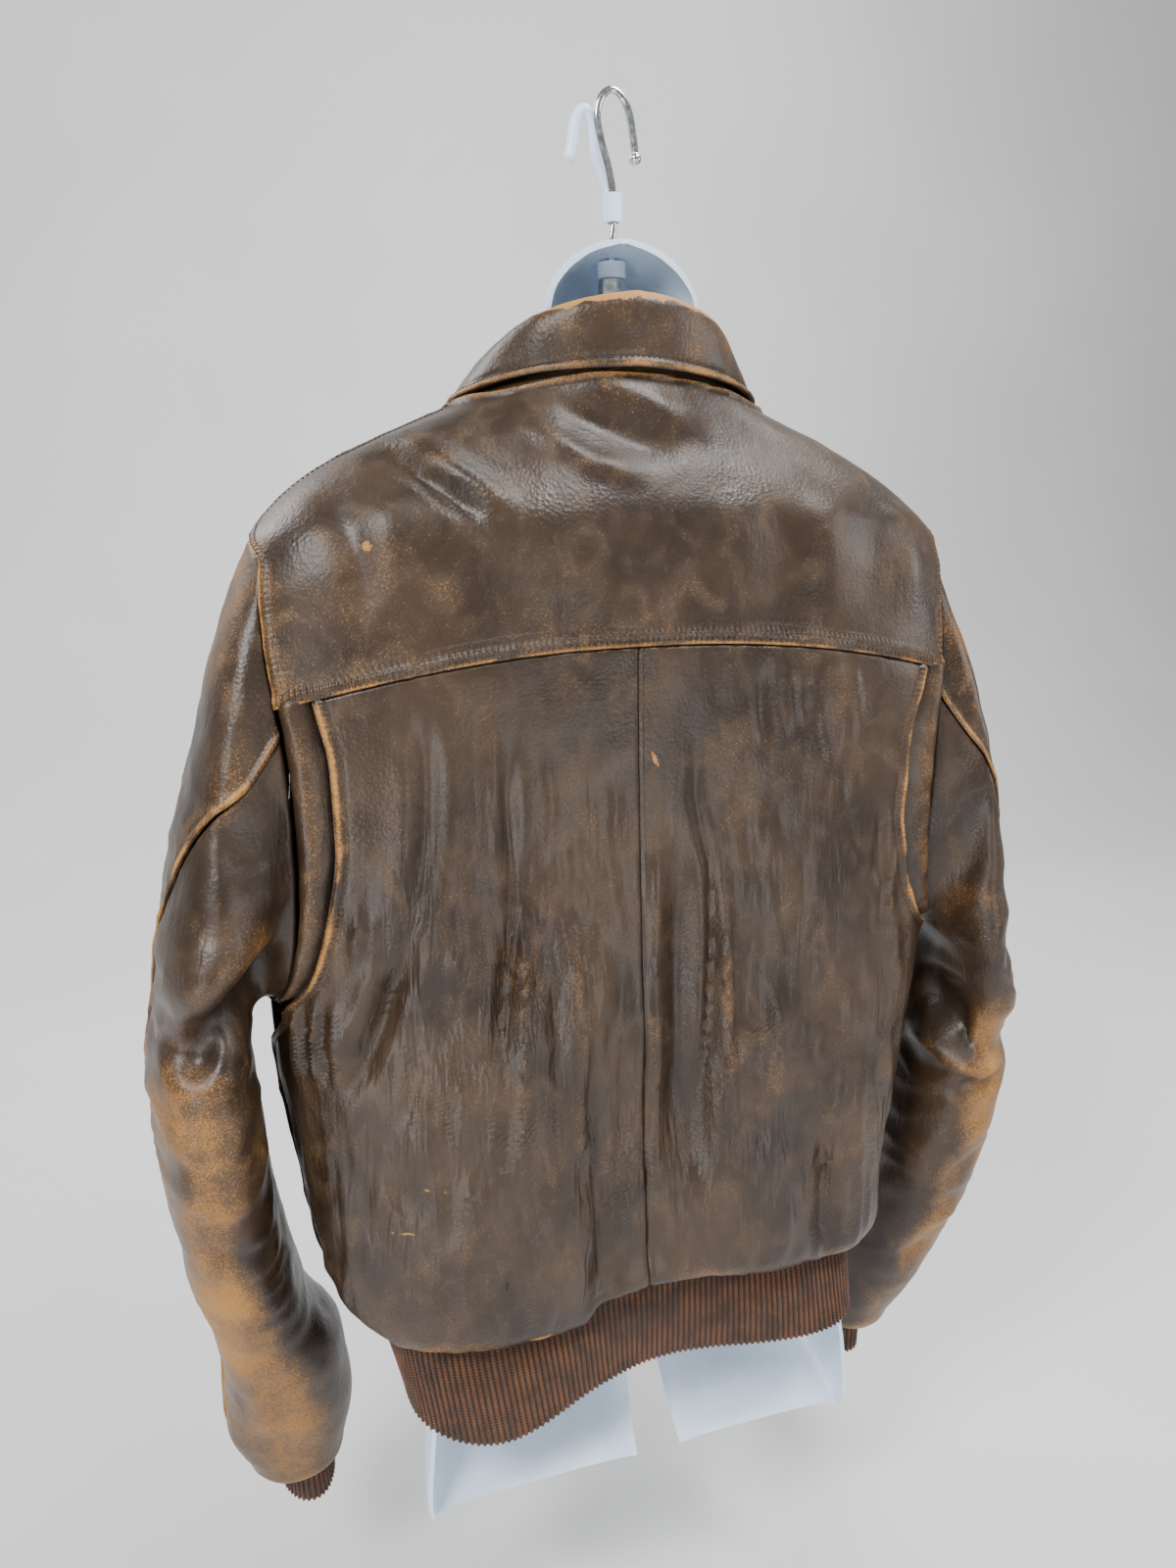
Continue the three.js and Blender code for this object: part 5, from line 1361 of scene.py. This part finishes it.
@dataclass
class Collar:
    """The folded collar: a stand that turns over into a leaf, with a piped lower edge."""

    end: float = 174.0  # degrees from the back's middle to each front end
    wall: float = 2.0
    columns: int = 300
    cut: Triple = (0.42, 0.085, 0.031)
    stitch_lines: list[Array] = field(default_factory=list)

    def keys(self, turn: Array) -> Array:
        """The six key points of the fold at each turn."""
        deg, way = np.abs(turn), np.where(turn < 0, -1, 1)
        foot = torso.point(MIDDLE - way * np.radians(deg), float(NECK_STATION))
        flat = np.stack([foot[:, 0] / 77, (foot[:, 1] - SIDE_Y) / 55, 0 * turn], -1)
        out, tall, lean = unit(flat), STAND_HEIGHT(deg), 1 - deg / 360
        at = (MIDDLE - way * np.radians(LEAF_ANGLE(deg)),
              LEAF_STATION(deg) - np.where(way < 0, 6 * ease(deg / 60), 0))
        edge, n = torso.point(*at), torso.normal(*at)
        edge = edge + n * (3.5 + 5 * (1 - ease(deg / 100)))[:, None]
        rise = ((1.2, 0, 0.0), (0, 0.55, 1.0), (0, 0.92, 3.0), (0, 1.0, 7.5), (0, 0.86, 12.5))
        rows = [foot + np.stack([0 * tall, 0 * tall, base + tall * share], -1) + out * (away * lean)[:, None]
                for base, share, away in rise]
        return np.stack([*rows, edge])

    def build(self, finishes: Finishes) -> Object:
        """Makes the collar's object."""
        turn = np.linspace(-self.end, self.end, self.columns)
        r = stretches((0, 0.4, 10), (0.4, 0.7, 22), (0.7, 0.93, 14), (0.93, 1, 8))
        base = catmull_rom(self.keys(turn), r)
        down, along = np.gradient(base, axis=0), np.gradient(base, axis=1)
        normal = unit(np.cross(down, along))
        leaf = len(r) * 3 // 4
        if (normal[leaf] * (base[leaf] - [0, -12, 560])).sum() < 0:
            normal = -normal
        run = run_along(base, 0)
        d = run[-1:] - run
        ripple = TINY(base / 5.0)
        # a piped edge with a groove behind it, and soft dents over the leaf
        bead = 1.4 * bell(d - 2.4, 2.0) - 0.9 * bell(d - 6.0, 1.3)
        worked = 0.3 * ripple * bell(d, 8)
        dents = 0.5 * SOFT(base / 24) + 0.25 * CRUMPLE(base / 9)
        lift = bead + worked + dents * ease(d / 8) * ease(run / 10)
        # a ragged rubbed patch along the top of the fold
        level = base * np.array([1, 1, 0])
        ragged = 0.05 * CRUMPLE(level / 9) + 0.03 * CRUMPLE(level / 3.4)
        reach = 0.765 + ragged - 0.17 * ease((np.abs(turn + 4) - 30) / 34)
        r = r[:, None]
        top = ease((reach - r) / 0.014) * ease((r - 0.5) / 0.03)
        wear = 0.15 + 1.9 * top + 0.85 * bell(d - 2.4, 1.3) * (0.8 + 0.6 * SOFT(base / 20))
        wear = wear + 0.25 * SOFT(base / 18) + 0.12 * bell(r - 0.72, 0.1)
        wear = wear - 0.5 * ease((0.45 - r) / 0.1)
        # painted shade in the groove behind the piped edge
        hollow = 0.7 * bell(d - 6.0, 1.2) + 0 * wear
        outer = base + normal * lift[..., None]
        inner = base - normal * self.wall
        made = shell("collar_leather", outer, inner, (finishes[Finish.LEATHER],) * 2)
        give_values(made, wear=wear, hollow=hollow, grain=0 * wear + 0.2, creased=0 * wear + 0.1)
        row = int(np.abs(d[:, self.columns // 2] - 5.6).argmin())
        self.stitch_lines.append((outer + normal * 0.5)[row, 4:-4])
        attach(made, JACKET)
        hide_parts("collar")
        width, length, area = self.cut
        log.info("%s: %d points", made.name, len(made.data.vertices))
        return made


# ------------------------------------------------------------------ knitted pieces

def knit_piece(name: str, node: str, base: Array, normal: Array, rib: float, ring: bool,
               cut: Triple, material: Material) -> Object:
    """Ribs on a grid of rows from the seam down and columns round the body.

    Args:
        name: The object's name.
        node: The CAD node that it stands for.
        base: The grid's points.
        normal: Outward normals.
        rib: The pitch of the ribs.
        ring: Whether the piece closes on itself.
        cut: Flat width, length and area in metres; not used.
        material: The knit's finish.

    Returns:
        The object.
    """
    run, deep = run_along(base, 1), run_along(base, 0)
    middle = run[len(run) // 2]
    total = middle[-1] + (np.linalg.norm(base[0, 0] - base[0, -1]) if ring else 0)
    count = max(1, round(total / rib))
    phase = middle / total * count
    wave = 0.5 + 0.5 * np.cos(2 * math.pi * phase)
    profile = wave ** 0.7
    loops = 0.12 * np.sin(deep * 3.3 + 3 * wave[None])
    lift = profile[None] * 1.25 - 0.6 + loops + 0.8 * SOFT(base / 30) * ease(deep / 12)
    outer = base + normal * lift[..., None]
    share = ease((deep - deep[-1:] + 5) / 5)
    outer[..., 2] -= share * (profile[None] * 1.4 - 0.4)
    inner = outer - normal * KNIT
    made = shell(name, outer, inner, (material,), ring)
    # where the ribs dip, for the knit's painted shade in its valleys
    hollow = 1 - profile[None] + 0 * deep
    give_values(made, hollow=hollow)
    uv = np.stack([np.broadcast_to(phase, deep.shape), deep], -1)
    give_uv(made, uv)
    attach(made, JACKET)
    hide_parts(node)
    log.info("%s: %d ribs", name, count)
    return made


@dataclass(frozen=True)
class Waistband:
    """The rib-knitted waistband, open at the zip."""

    rib: float = 4.1
    square: float = 3.4
    cut: Triple = (1.05, 0.085, 0.0825)
    ring = sections("left right back front z square_back", [
        [0, 186, 172, 92, 90, 82, 4.5], [0.35, 184, 172, 99, 94, 54, 4.8],
        [0.7, 178, 170, 107, 94, 26, 5.4], [1, 171, 168, 112, 92, 0, 6.0]])

    def point(self, u: Array, t: Array) -> Array:
        """A point of the band at angle u and t from its seam down."""
        k = {name: curve(t) for name, curve in self.ring.items()}
        c, s = np.cos(u), np.sin(u)
        n = np.where(s > 0, k["square_back"], self.square)
        reach = squared(c, s, n)
        x = np.where(c > 0, k["left"], k["right"]) * reach * c
        at_back = np.where(s > 0, ease(s * 1.5), 0)
        hollow = 20 * at_back * bell(x + 12, 70) * t
        bulge = bell(x - 118, 52) * at_back * t
        y = SIDE_Y + np.where(s > 0, k["back"] + 6 * bulge - hollow, k["front"]) * reach * s
        return np.stack([x, y, k["z"] - 16 * bulge * t], -1)

    def build(self, finishes: Finishes) -> Object:
        """Makes the band's object."""
        end = math.asin(ZIP_HALF / 166)
        u = np.linspace(-MIDDLE + end, 2 * math.pi - MIDDLE - end, 4000)
        run = run_along(self.point(u, np.full_like(u, 0.5)), 0)
        count = round(run[-1] / self.rib) * 6
        u = np.interp(np.linspace(0, run[-1], count + 1), run, u)
        t = np.concatenate([np.linspace(0, 0.9, 13)[:-1], [0.9, 0.94, 0.97, 1.0]])
        grid_u, grid_t = np.meshgrid(u, t)
        normal = -normals_of(self.point, grid_u, grid_t, 2e-3, 0.01)
        base = self.point(grid_u, grid_t) - normal * 0.3
        return knit_piece("waistband_knit", "waistband", base, normal, self.rib, False, self.cut,
                          finishes[Finish.KNIT])


@dataclass(frozen=True)
class Cuff:
    """A rib-knitted cuff, a closed ring."""

    side: int
    rings: tuple[tuple[float, ...], tuple[float, ...]]
    cut: Triple = (0.185, 0.05, 0.0084)
    rib: float = 4.0

    def build(self, word: str, finishes: Finishes) -> Object:
        """Makes the cuff's object."""
        keys = sections("out_x in_x y z", self.rings)
        w, t = np.meshgrid(np.arange(360) / 360 * 2 * math.pi, np.linspace(0, 1, 14))
        k = {name: curve(t) for name, curve in keys.items()}
        centre = np.stack([self.side * (k["out_x"] + k["in_x"]) / 2, k["y"], k["z"]], -1)
        spoke = np.stack([(k["out_x"] - k["in_x"]) / 2 * np.cos(w), mix(33, 36, t) * np.sin(w), 0 * w], -1)
        base, normal = centre + spoke, unit(spoke)
        return knit_piece(f"cuff_{word}_knit", f"cuff_{word}", base - normal * 0.4, normal, self.rib, True,
                          self.cut, finishes[Finish.KNIT])


# ------------------------------------------------------------------ repeats by Geometry Nodes

class Repeat(Enum):
    """What a repeat tree sets along a line."""

    STITCH = "stitch"
    TOOTH = "tooth"


def repeat_tree(kind: Repeat, material: Material) -> bpy.types.NodeTree:
    """A tree that sets a small solid at even steps along every line of a mesh.

    Args:
        kind: A rounded stitch, or a blocky zip tooth.
        material: Its finish.

    Returns:
        The tree, with inputs for the pitch and for the solid's size along and across the line.
    """
    tree = bpy.data.node_groups.new(f"{kind.value}_row", "GeometryNodeTree")
    face = tree.interface
    face.new_socket("Geometry", in_out="INPUT", socket_type="NodeSocketGeometry")
    for name in ("Pitch", "Along", "Across", "Thick"):
        face.new_socket(name, in_out="INPUT", socket_type="NodeSocketFloat")
    face.new_socket("Geometry", in_out="OUTPUT", socket_type="NodeSocketGeometry")
    add, link = tree.nodes.new, tree.links.new
    start, end = add("NodeGroupInput"), add("NodeGroupOutput")
    curve, resample = add("GeometryNodeMeshToCurve"), add("GeometryNodeResampleCurve")
    resample.mode = "LENGTH"
    if kind is Repeat.STITCH:
        solid = add("GeometryNodeMeshUVSphere")
        solid.inputs["Segments"].default_value, solid.inputs["Rings"].default_value = 6, 5
        solid.inputs["Radius"].default_value = 0.5
    else:
        solid = add("GeometryNodeMeshCube")
    shape, size = add("GeometryNodeTransform"), add("ShaderNodeCombineXYZ")
    tangent, turn = add("GeometryNodeInputTangent"), add("FunctionNodeAlignRotationToVector")
    turn.axis = "X"
    stamp, real = add("GeometryNodeInstanceOnPoints"), add("GeometryNodeRealizeInstances")
    paint = add("GeometryNodeSetMaterial")
    paint.inputs["Material"].default_value = material
    for socket, name in zip(size.inputs, ("Along", "Across", "Thick")):
        link(start.outputs[name], socket)
    for source, out, target, into in (
            (start, "Geometry", curve, "Mesh"), (curve, "Curve", resample, "Curve"),
            (start, "Pitch", resample, "Length"), (solid, "Mesh", shape, "Geometry"),
            (size, "Vector", shape, "Scale"), (tangent, "Tangent", turn, "Vector"),
            (resample, "Curve", stamp, "Points"), (shape, "Geometry", stamp, "Instance"),
            (turn, "Rotation", stamp, "Rotation"), (stamp, "Instances", real, "Geometry"),
            (real, "Geometry", paint, "Geometry"), (paint, "Geometry", end, "Geometry")):
        link(source.outputs[out], target.inputs[into])
    return tree


def set_along(name: str, lines: Sequence[Array], tree: bpy.types.NodeTree, slot: str | None,
              **sizes: float) -> Object:
    """Runs a repeat tree on lines in the garment's frame and keeps the result as a plain mesh."""
    points = np.concatenate(lines)
    edges, start = [], 0
    for line in lines:
        edges += [(start + k, start + k + 1) for k in range(len(line) - 1)]
        start += len(line)
    mesh = bpy.data.meshes.new(name + "_lines")
    mesh.from_pydata(((points + SHIFT) * MM).tolist(), edges, [])
    guide = put(name + "_guide", mesh)
    modifier = guide.modifiers.new("row", "NODES")
    modifier.node_group = tree
    for item in tree.interface.items_tree:
        if item.item_type == "SOCKET" and item.in_out == "INPUT" and item.name.lower() in sizes:
            modifier[item.identifier] = sizes[item.name.lower()] * MM
    result = modified(guide)
    bpy.data.objects.remove(guide)
    made = put(name, result)
    smooth(result, 60)
    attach(made, JACKET)
    log.info("%s: %d faces", name, len(result.polygons))
    return made


@dataclass(frozen=True)
class Zip:
    """The closed zip: tapes, teeth, slider and pull tab."""

    turn_over: float = 0.12
    top: float = 668.0
    tape: tuple[float, float] = (0.4, 6.4)
    tooth_pitch: float = 2.1
    tooth: Triple = (1.15, 3.0, 1.5)  # along, across and thick
    columns: int = 7

    def line(self) -> Array:
        """The zip's line down the middle of the front."""
        t = np.linspace(0, 1, 19)
        front = np.full_like(t, -MIDDLE)
        band = Waistband().point(front, 1 - t / self.turn_over * 0.75)
        body = torso.point(front, mix(22, self.top, (t - self.turn_over) / (1 - self.turn_over)))
        keys = np.where((t < self.turn_over)[:, None], band, body)
        return catmull_rom(keys, np.linspace(0, 1, 260))

    def build(self, finishes: Finishes) -> None:
        """Makes the tapes and teeth, and dresses the slider and tab."""
        line = self.line()
        along = unit(np.gradient(line, axis=0))
        out = np.stack([0 * along[:, 0], -along[:, 2], along[:, 1]], -1)
        for word, side in SIDES:
            x = np.broadcast_to(side * np.linspace(*self.tape, self.columns), (len(line), self.columns))
            rows = [np.stack([x, *(np.repeat((line - out * depth)[:, k:k + 1], self.columns, 1)
                                   for k in (1, 2))], -1)
                    for depth in (0.9, 2.1)]
            tape = shell(f"zip_tape_{word}_woven", rows[0], rows[1], (finishes[Finish.TAPE],))
            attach(tape, JACKET)
            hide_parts(f"zip_tape_{word}")
        tree = repeat_tree(Repeat.TOOTH, finishes[Finish.BRASS])
        for word, side in SIDES:
            first = 2 if side > 0 else 0  # the left row starts later and half a tooth on
            path = (line + out * 0.1 + np.array([side * 1.0, 0, 0]))[first:-14]
            path = path + along[first:-14] * (self.tooth_pitch / 2 if side > 0 else 0)
            along_line, across_line, thick = self.tooth
            set_along(f"zip_teeth_{word}", [path], tree, Finish.BRASS.value, pitch=self.tooth_pitch,
                      along=along_line, across=across_line, thick=thick)
        for node in ("zip_slider", "zip_pull_tab"):
            dress(node, finishes[Finish.BRASS])


def dress(node: str, material: Material) -> None:
    """Gives a CAD node that keeps its own shape a finish."""
    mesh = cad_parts[node].data
    mesh.materials.clear()
    mesh.materials.append(material)


# ------------------------------------------------------------------ the hanging form and its hooks

@dataclass(frozen=True)
class TorsoForm:
    """The moulded hollow-backed form, with a groove between its leg stubs and a boss for the hook."""

    shift: float = -8.0
    wall: float = 3.0
    columns: int = 110
    shape = sections("half deep rim square", [
        [-94, 161, 12, 79, 4.0], [-80, 163, 34, 82, 3.6], [-40, 160, 74, 82, 3.2], [20, 152, 104, 77, 3.0],
        [60, 149, 118, 70, 2.9], [110, 150, 130, 66, 2.8], [200, 156, 146, 68, 2.6], [320, 180, 168, 70, 2.6],
        [420, 200, 164, 66, 2.6], [500, 205, 136, 60, 2.5], [548, 198, 106, 50, 2.4], [580, 168, 88, 42, 2.3],
        [610, 124, 74, 36, 2.2], [640, 80, 68, 26, 2.1], [664, 59, 64, 20, 2.0], [690, 55, 65, 23, 2.0],
        [716, 50, 63, 24, 2.0], [732, 41, 54, 24, 2.0], [743, 28, 37, 24, 2.0], [748, 16, 21, 24, 2.0],
        [751, 2, 3, 24, 2.0]])
    notch: tuple[float, float, float, float] = (-11, 13, 6, -38)  # x, half width, flare and top

    def build(self, finishes: Finishes) -> None:
        """Makes the shell, cut by its notch, and the boss."""
        heights = stretches((-94, 560, 110), (560, 700, 50), (700, 751, 30))
        s, z = np.meshgrid(np.linspace(0, 1, self.columns), heights)
        k = {name: curve(z) for name, curve in self.shape.items()}
        c, d = np.cos(math.pi * s), np.sin(math.pi * s)
        reach = squared(c, d, k["square"])
        x = k["half"] * reach * c
        thighs = ease((60 - z) / 110) * 0.45 * bell(x - self.notch[0], 26)
        middle = self.shift * ease((z - 560) / 120)
        outer = np.stack([x + middle, k["rim"] - k["deep"] * reach * d * (1 - thighs), z], -1)
        centre = np.stack([middle, k["rim"], z], -1)
        shrink = [1 - self.wall / np.maximum(k[size], 12) for size in ("half", "deep")]
        shrink = np.stack([*shrink, 0 * z], -1)
        inner = centre + (outer - centre) * shrink
        inner[..., 2] = z - self.wall * ease((z - 716) / 26)
        made = shell("torso_form", outer, inner, (finishes[Finish.PLASTIC],), sharp=40)
        self.cut_notch(made)
        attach(made, JACKET)
        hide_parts("form_shell")
        boss = lathe("form_boss", [(2.7, 731), (8.4, 731), (9, 731.8), (9, 741), (2.7, 741)],
                     (self.shift, 0), finishes[Finish.PLASTIC])
        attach(boss, JACKET)
        dress("hook_nut", finishes[Finish.STEEL])

    def cut_notch(self, form: Object) -> None:
        """Cuts the rounded notch between the leg stubs."""
        x, half, flare, top = self.notch
        turn = np.linspace(0, math.pi, 17)
        outline = [(-half - flare, -114), (half + flare, -114),
                   *zip(half * np.cos(turn), top - half + half * np.sin(turn))]
        points = np.array([(x + a, y, b) for y in (-200, 200) for a, b in outline], float)
        n = len(outline)
        faces = [list(range(n)), list(range(2 * n - 1, n - 1, -1))]
        faces += [[i, i + n, (i + 1) % n + n, (i + 1) % n] for i in range(n)]
        cutter = new_object("notch_cutter", points, faces, ())
        face_out(cutter.data)
        modifier = form.modifiers.new("notch", "BOOLEAN")
        modifier.object, modifier.operation, modifier.solver = cutter, "DIFFERENCE", "EXACT"
        form.data = modified(form)
        smooth(form.data, 40)
        bpy.data.objects.remove(cutter)


def around(rings: int, sides: int) -> list[list[int]]:
    """The quads between rings of points, with the last ring joined to the first."""
    return [[i * sides + j, i * sides + (j + 1) % sides, (i + 1) % rings * sides + (j + 1) % sides,
             (i + 1) % rings * sides + j] for i in range(rings) for j in range(sides)]


def lathe(name: str, profile: Sequence[tuple[float, float]], centre: tuple[float, float],
          material: Material, sides: int = 40) -> Object:
    """A closed ring turned about an upright axis, from a profile of radius and height."""
    turn = np.arange(sides) / sides * 2 * math.pi
    rows = [np.stack([centre[0] + r * np.cos(turn), centre[1] + r * np.sin(turn), np.full(sides, z)], -1)
            for r, z in profile]
    return new_object(name, np.concatenate(rows), around(len(profile), sides), (material,), 35)


def sweep(name: str, path: Array, radii: Array, material: Material, sides: int = 20) -> Object:
    """A round rod of changing radius along a path, closed at both ends."""
    along = unit(np.gradient(path, axis=0))
    side = unit(np.cross(along, np.array([0.0, 1.0, 0.0])))
    other = np.cross(along, side)
    turn = np.arange(sides) / sides * 2 * math.pi
    ring = side[:, None] * np.cos(turn)[None, :, None] + other[:, None] * np.sin(turn)[None, :, None]
    points = (path[:, None] + ring * radii[:, None, None]).reshape(-1, 3)
    faces = around(len(path), sides)[:-sides]
    faces += [list(range(sides))[::-1], list(range((len(path) - 1) * sides, len(path) * sides))]
    made = new_object(name, points, faces, (material,), 60)
    face_out(made.data)
    return made


@dataclass(frozen=True)
class Hooks:
    """The steel hook with its ball tip, and the plastic hook clipped on its shank."""

    wire: float = 2.4  # radii of the steel rod, its ball and the plastic rod
    ball: float = 3.8
    rod: float = 3.6
    steel: Line = ((-8, 708), (-8, 735), (-8, 753), (-10, 772), (-7, 795), (-1.3, 814), (0.9, 828),
                   (-2.4, 838), (-9, 842.4), (-15.8, 839), (-20.2, 831), (-23.6, 814), (-24.6, 806))
    white: tuple[Triple, ...] = (
        (-9, -4.4, 777), (-7.6, -6.8, 787), (-4, -7.2, 797), (-0.8, -7.2, 806), (0, -7.2, 816),
        (1.6, -7.2, 826), (7, -7.2, 832), (12, -7.2, 827), (15, -7.2, 813), (18, -7.2, 800))
    grip: tuple[float, float, float, float, float] = (-9.2, 6.4, 3.9, 765, 782)  # x, radii, low, high

    def build(self, finishes: Finishes) -> None:
        """Makes both hooks."""
        keys = np.array([(x, 0.0, z) for x, z in self.steel])
        path = catmull_rom(keys, np.linspace(0, 1, 150))
        # the rod swells into a ball at its tip
        centre = path[-1] - [0, 0, self.ball * 0.6]
        down = np.linspace(0, self.ball * 1.6 - 0.02, 16)[1:]
        tail = path[-1] - np.outer(down, [0, 0, 1])
        path = np.concatenate([path, tail])
        radii = np.full(len(path), self.wire)
        away = path[:, 2] - centre[2]
        sphere = np.sqrt(np.maximum(self.ball ** 2 - away ** 2, 0.0004))
        near = (np.arange(len(path)) > 130) & (np.abs(away) < self.ball)
        radii = np.where(near, np.where(away > 0, np.maximum(self.wire, sphere), sphere), radii)
        hook = sweep("steel_hook", path, radii, finishes[Finish.STEEL])
        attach(hook, JACKET)
        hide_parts("hook_steel")
        curl = catmull_rom(np.array(self.white), np.linspace(0, 1, 90))
        away = np.linalg.norm(curl - curl[-1], axis=-1)
        radii = self.rod * np.sqrt(clamp(1 - ((self.rod - away) / self.rod).clip(0, 1) ** 2) + 1e-4)
        clip = sweep("plastic_hook", curl, radii, finishes[Finish.PLASTIC])
        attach(clip, JACKET)
        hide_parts("hook_white")
        x, radius, bore, low, high = self.grip
        profile = [(bore, low), (radius - 0.6, low), (radius, low + 0.6), (radius, high - 0.6),
                   (radius - 0.6, high), (bore, high)]
        sleeve = lathe("plastic_hook_grip", profile, (x, 0), finishes[Finish.PLASTIC])
        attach(sleeve, JACKET)


# ------------------------------------------------------------------ stage, light and camera

@dataclass(frozen=True)
class Studio:
    """A pale floor that sweeps up into a wall, soft light and the camera behind the left shoulder."""

    eye: Triple = (0.2809, 0.7632, -0.2617)
    yaw: float = 18.752
    pitch: float = 12.551
    roll: float = -0.775
    lens: float = 27.0
    drop: float = 0.12  # from the lowest part to the floor
    half: float = 14.0  # half the floor's width
    wall: float = -2.8  # where the wall stands
    bend: float = 1.2  # radius between floor and wall
    height: float = 9.0  # top of the wall

    def camera(self) -> None:
        """Makes the camera."""
        data = bpy.data.cameras.new("camera")
        data.lens, data.sensor_width, data.sensor_fit = self.lens, 36.0, "AUTO"
        yaw, pitch, roll = (math.radians(k) for k in (self.yaw, self.pitch, self.roll))
        ahead = Vector((-math.sin(yaw) * math.cos(pitch), -math.cos(yaw) * math.cos(pitch), -math.sin(pitch)))
        right = ahead.cross(Vector((0, 0, 1))).normalized()
        up = right.cross(ahead)
        turned = math.cos(roll) * right + math.sin(roll) * up
        upright = -math.sin(roll) * right + math.cos(roll) * up
        cam = put("camera", data)
        facing = Matrix((turned, upright, -ahead)).transposed().to_4x4()
        cam.matrix_world = Matrix.Translation(self.eye) @ facing
        bpy.context.scene.camera = cam

    def lamp(self, name: str, place: Triple, aim: Triple, size: float, power: float) -> None:
        """Makes one soft square lamp."""
        data = bpy.data.lights.new(name, "AREA")
        data.size, data.energy = size, power
        lamp = put(name, data)
        lamp.location = place
        lamp.rotation_euler = (Vector(aim) - Vector(place)).to_track_quat("-Z", "Y").to_euler()

    def build(self) -> None:
        """Makes the camera, the floor and wall, and the lights."""
        self.camera()
        low, half, bend, wall = CAD_BOX[0].z - self.drop, self.half, self.bend, self.wall
        turn = np.linspace(0, MIDDLE, 13)
        curve = zip(wall + bend - bend * np.sin(turn), low + bend - bend * np.cos(turn))
        profile = [(half, low), *curve, (wall, self.height)]
        points = np.array([(x, y, z) for y, z in profile for x in (-half, half)]) / MM - SHIFT
        faces = [[2 * k, 2 * k + 1, 2 * k + 3, 2 * k + 2] for k in range(len(profile) - 1)]
        floor = new_object("floor", points, faces, ())
        pale = Canvas("pale_floor")
        shade = pale.blend(pale.ramp(pale.noise(2.0, 2), 0.3, 0.7), (0.70, 0.70, 0.70), (0.74, 0.74, 0.74))
        floor.data.materials.append(pale.finish(shade, 0.9))
        world = bpy.data.worlds.new("soft_room")
        world.use_nodes = True
        sky = world.node_tree.nodes["Background"]
        sky.inputs["Color"].default_value = (0.86, 0.88, 0.92, 1)
        sky.inputs["Strength"].default_value = 0.42
        bpy.context.scene.world = world
        self.lamp("key_lamp", (1.3, 1.1, 0.9), (0, 0, -0.5), 0.6, 46)
        self.lamp("top_lamp", (-0.7, 0.8, 1.1), (0, 0, -0.4), 0.5, 30)
        self.lamp("side_lamp", (-1.8, 0.7, 0.0), (0, 0, -0.5), 0.8, 12)
        self.lamp("low_lamp", (1.2, 1.2, -0.75), (0, 0, -0.65), 0.5, 9)
        self.lamp("low_lamp_right", (-0.5, 1.7, -0.8), (0, 0, -0.65), 0.45, 6)
        self.lamp("front_lamp", (1.4, -1.5, 1.0), (0, 0, -0.5), 1.0, 30)
        self.lamp("wall_lamp", (-1.0, -0.4, 1.6), (0, -2.8, -0.4), 1.4, 60)


# ------------------------------------------------------------------ putting it together

CUTS = {  # flat width and length in metres, and area in square metres
    "back_left": (0.245, 0.56, 0.1185), "back_right": (0.235, 0.56, 0.1123),
    "front_left": (0.25, 0.68, 0.1476), "front_right": (0.25, 0.68, 0.146),
    "sleeve_top_left": (0.19, 0.72, 0.0966), "sleeve_top_right": (0.20, 0.72, 0.108),
    "sleeve_under_left": (0.20, 0.66, 0.1065), "sleeve_under_right": (0.19, 0.66, 0.0857),
    "pleat_left": (0.036, 0.22, 0.0054), "pleat_right": (0.040, 0.22, 0.0068),
}
CUFFS = {  # each cuff's top and bottom rings: place, outer x, inner x, y and z
    1: ((0, 257, 219, -43, -84), (1, 255, 214, -44, -132)),
    -1: ((0, 249, 213, -50, -84), (1, 247, 209, -52, -134)),
}


def leather_pieces() -> list[LeatherPiece]:
    """Every cut piece of leather but the collar."""
    pieces = [Yoke().piece()]
    for word, side in SIDES:
        pieces.append(Back(side, CUTS[f"back_{word}"]).piece(word))
        pieces.append(Pleat(side, CUTS[f"pleat_{word}"]).piece(word))
        pieces.append(Front(side, CUTS[f"front_{word}"]).piece(word))
        pieces.append(SleevePart(side, True, CUTS[f"sleeve_top_{word}"]).piece(word))
        pieces.append(SleevePart(side, False, CUTS[f"sleeve_under_{word}"]).piece(word))
    return pieces


def main() -> None:
    """Builds the jacket, the form and the stage; its pieces log their counts of points, faces and ribs."""
    logging.basicConfig(level=logging.INFO, format="%(name)s: %(message)s")
    Studio().build()
    finishes = make_finishes()
    pieces = leather_pieces()
    for piece in pieces:
        piece.build(finishes)
    collar = Collar()
    collar.build(finishes)
    Waistband().build(finishes)
    for word, side in SIDES:
        Cuff(side, CUFFS[side]).build(word, finishes)
    lines = [line for maker in [*pieces, collar] for line in maker.stitch_lines]
    set_along("stitches", lines, repeat_tree(Repeat.STITCH, finishes[Finish.THREAD]), None,
              pitch=3.6, along=2.7, across=0.75, thick=0.75)
    Zip().build(finishes)
    TorsoForm().build(finishes)
    Hooks().build(finishes)


if __name__ == "__main__":
    main()
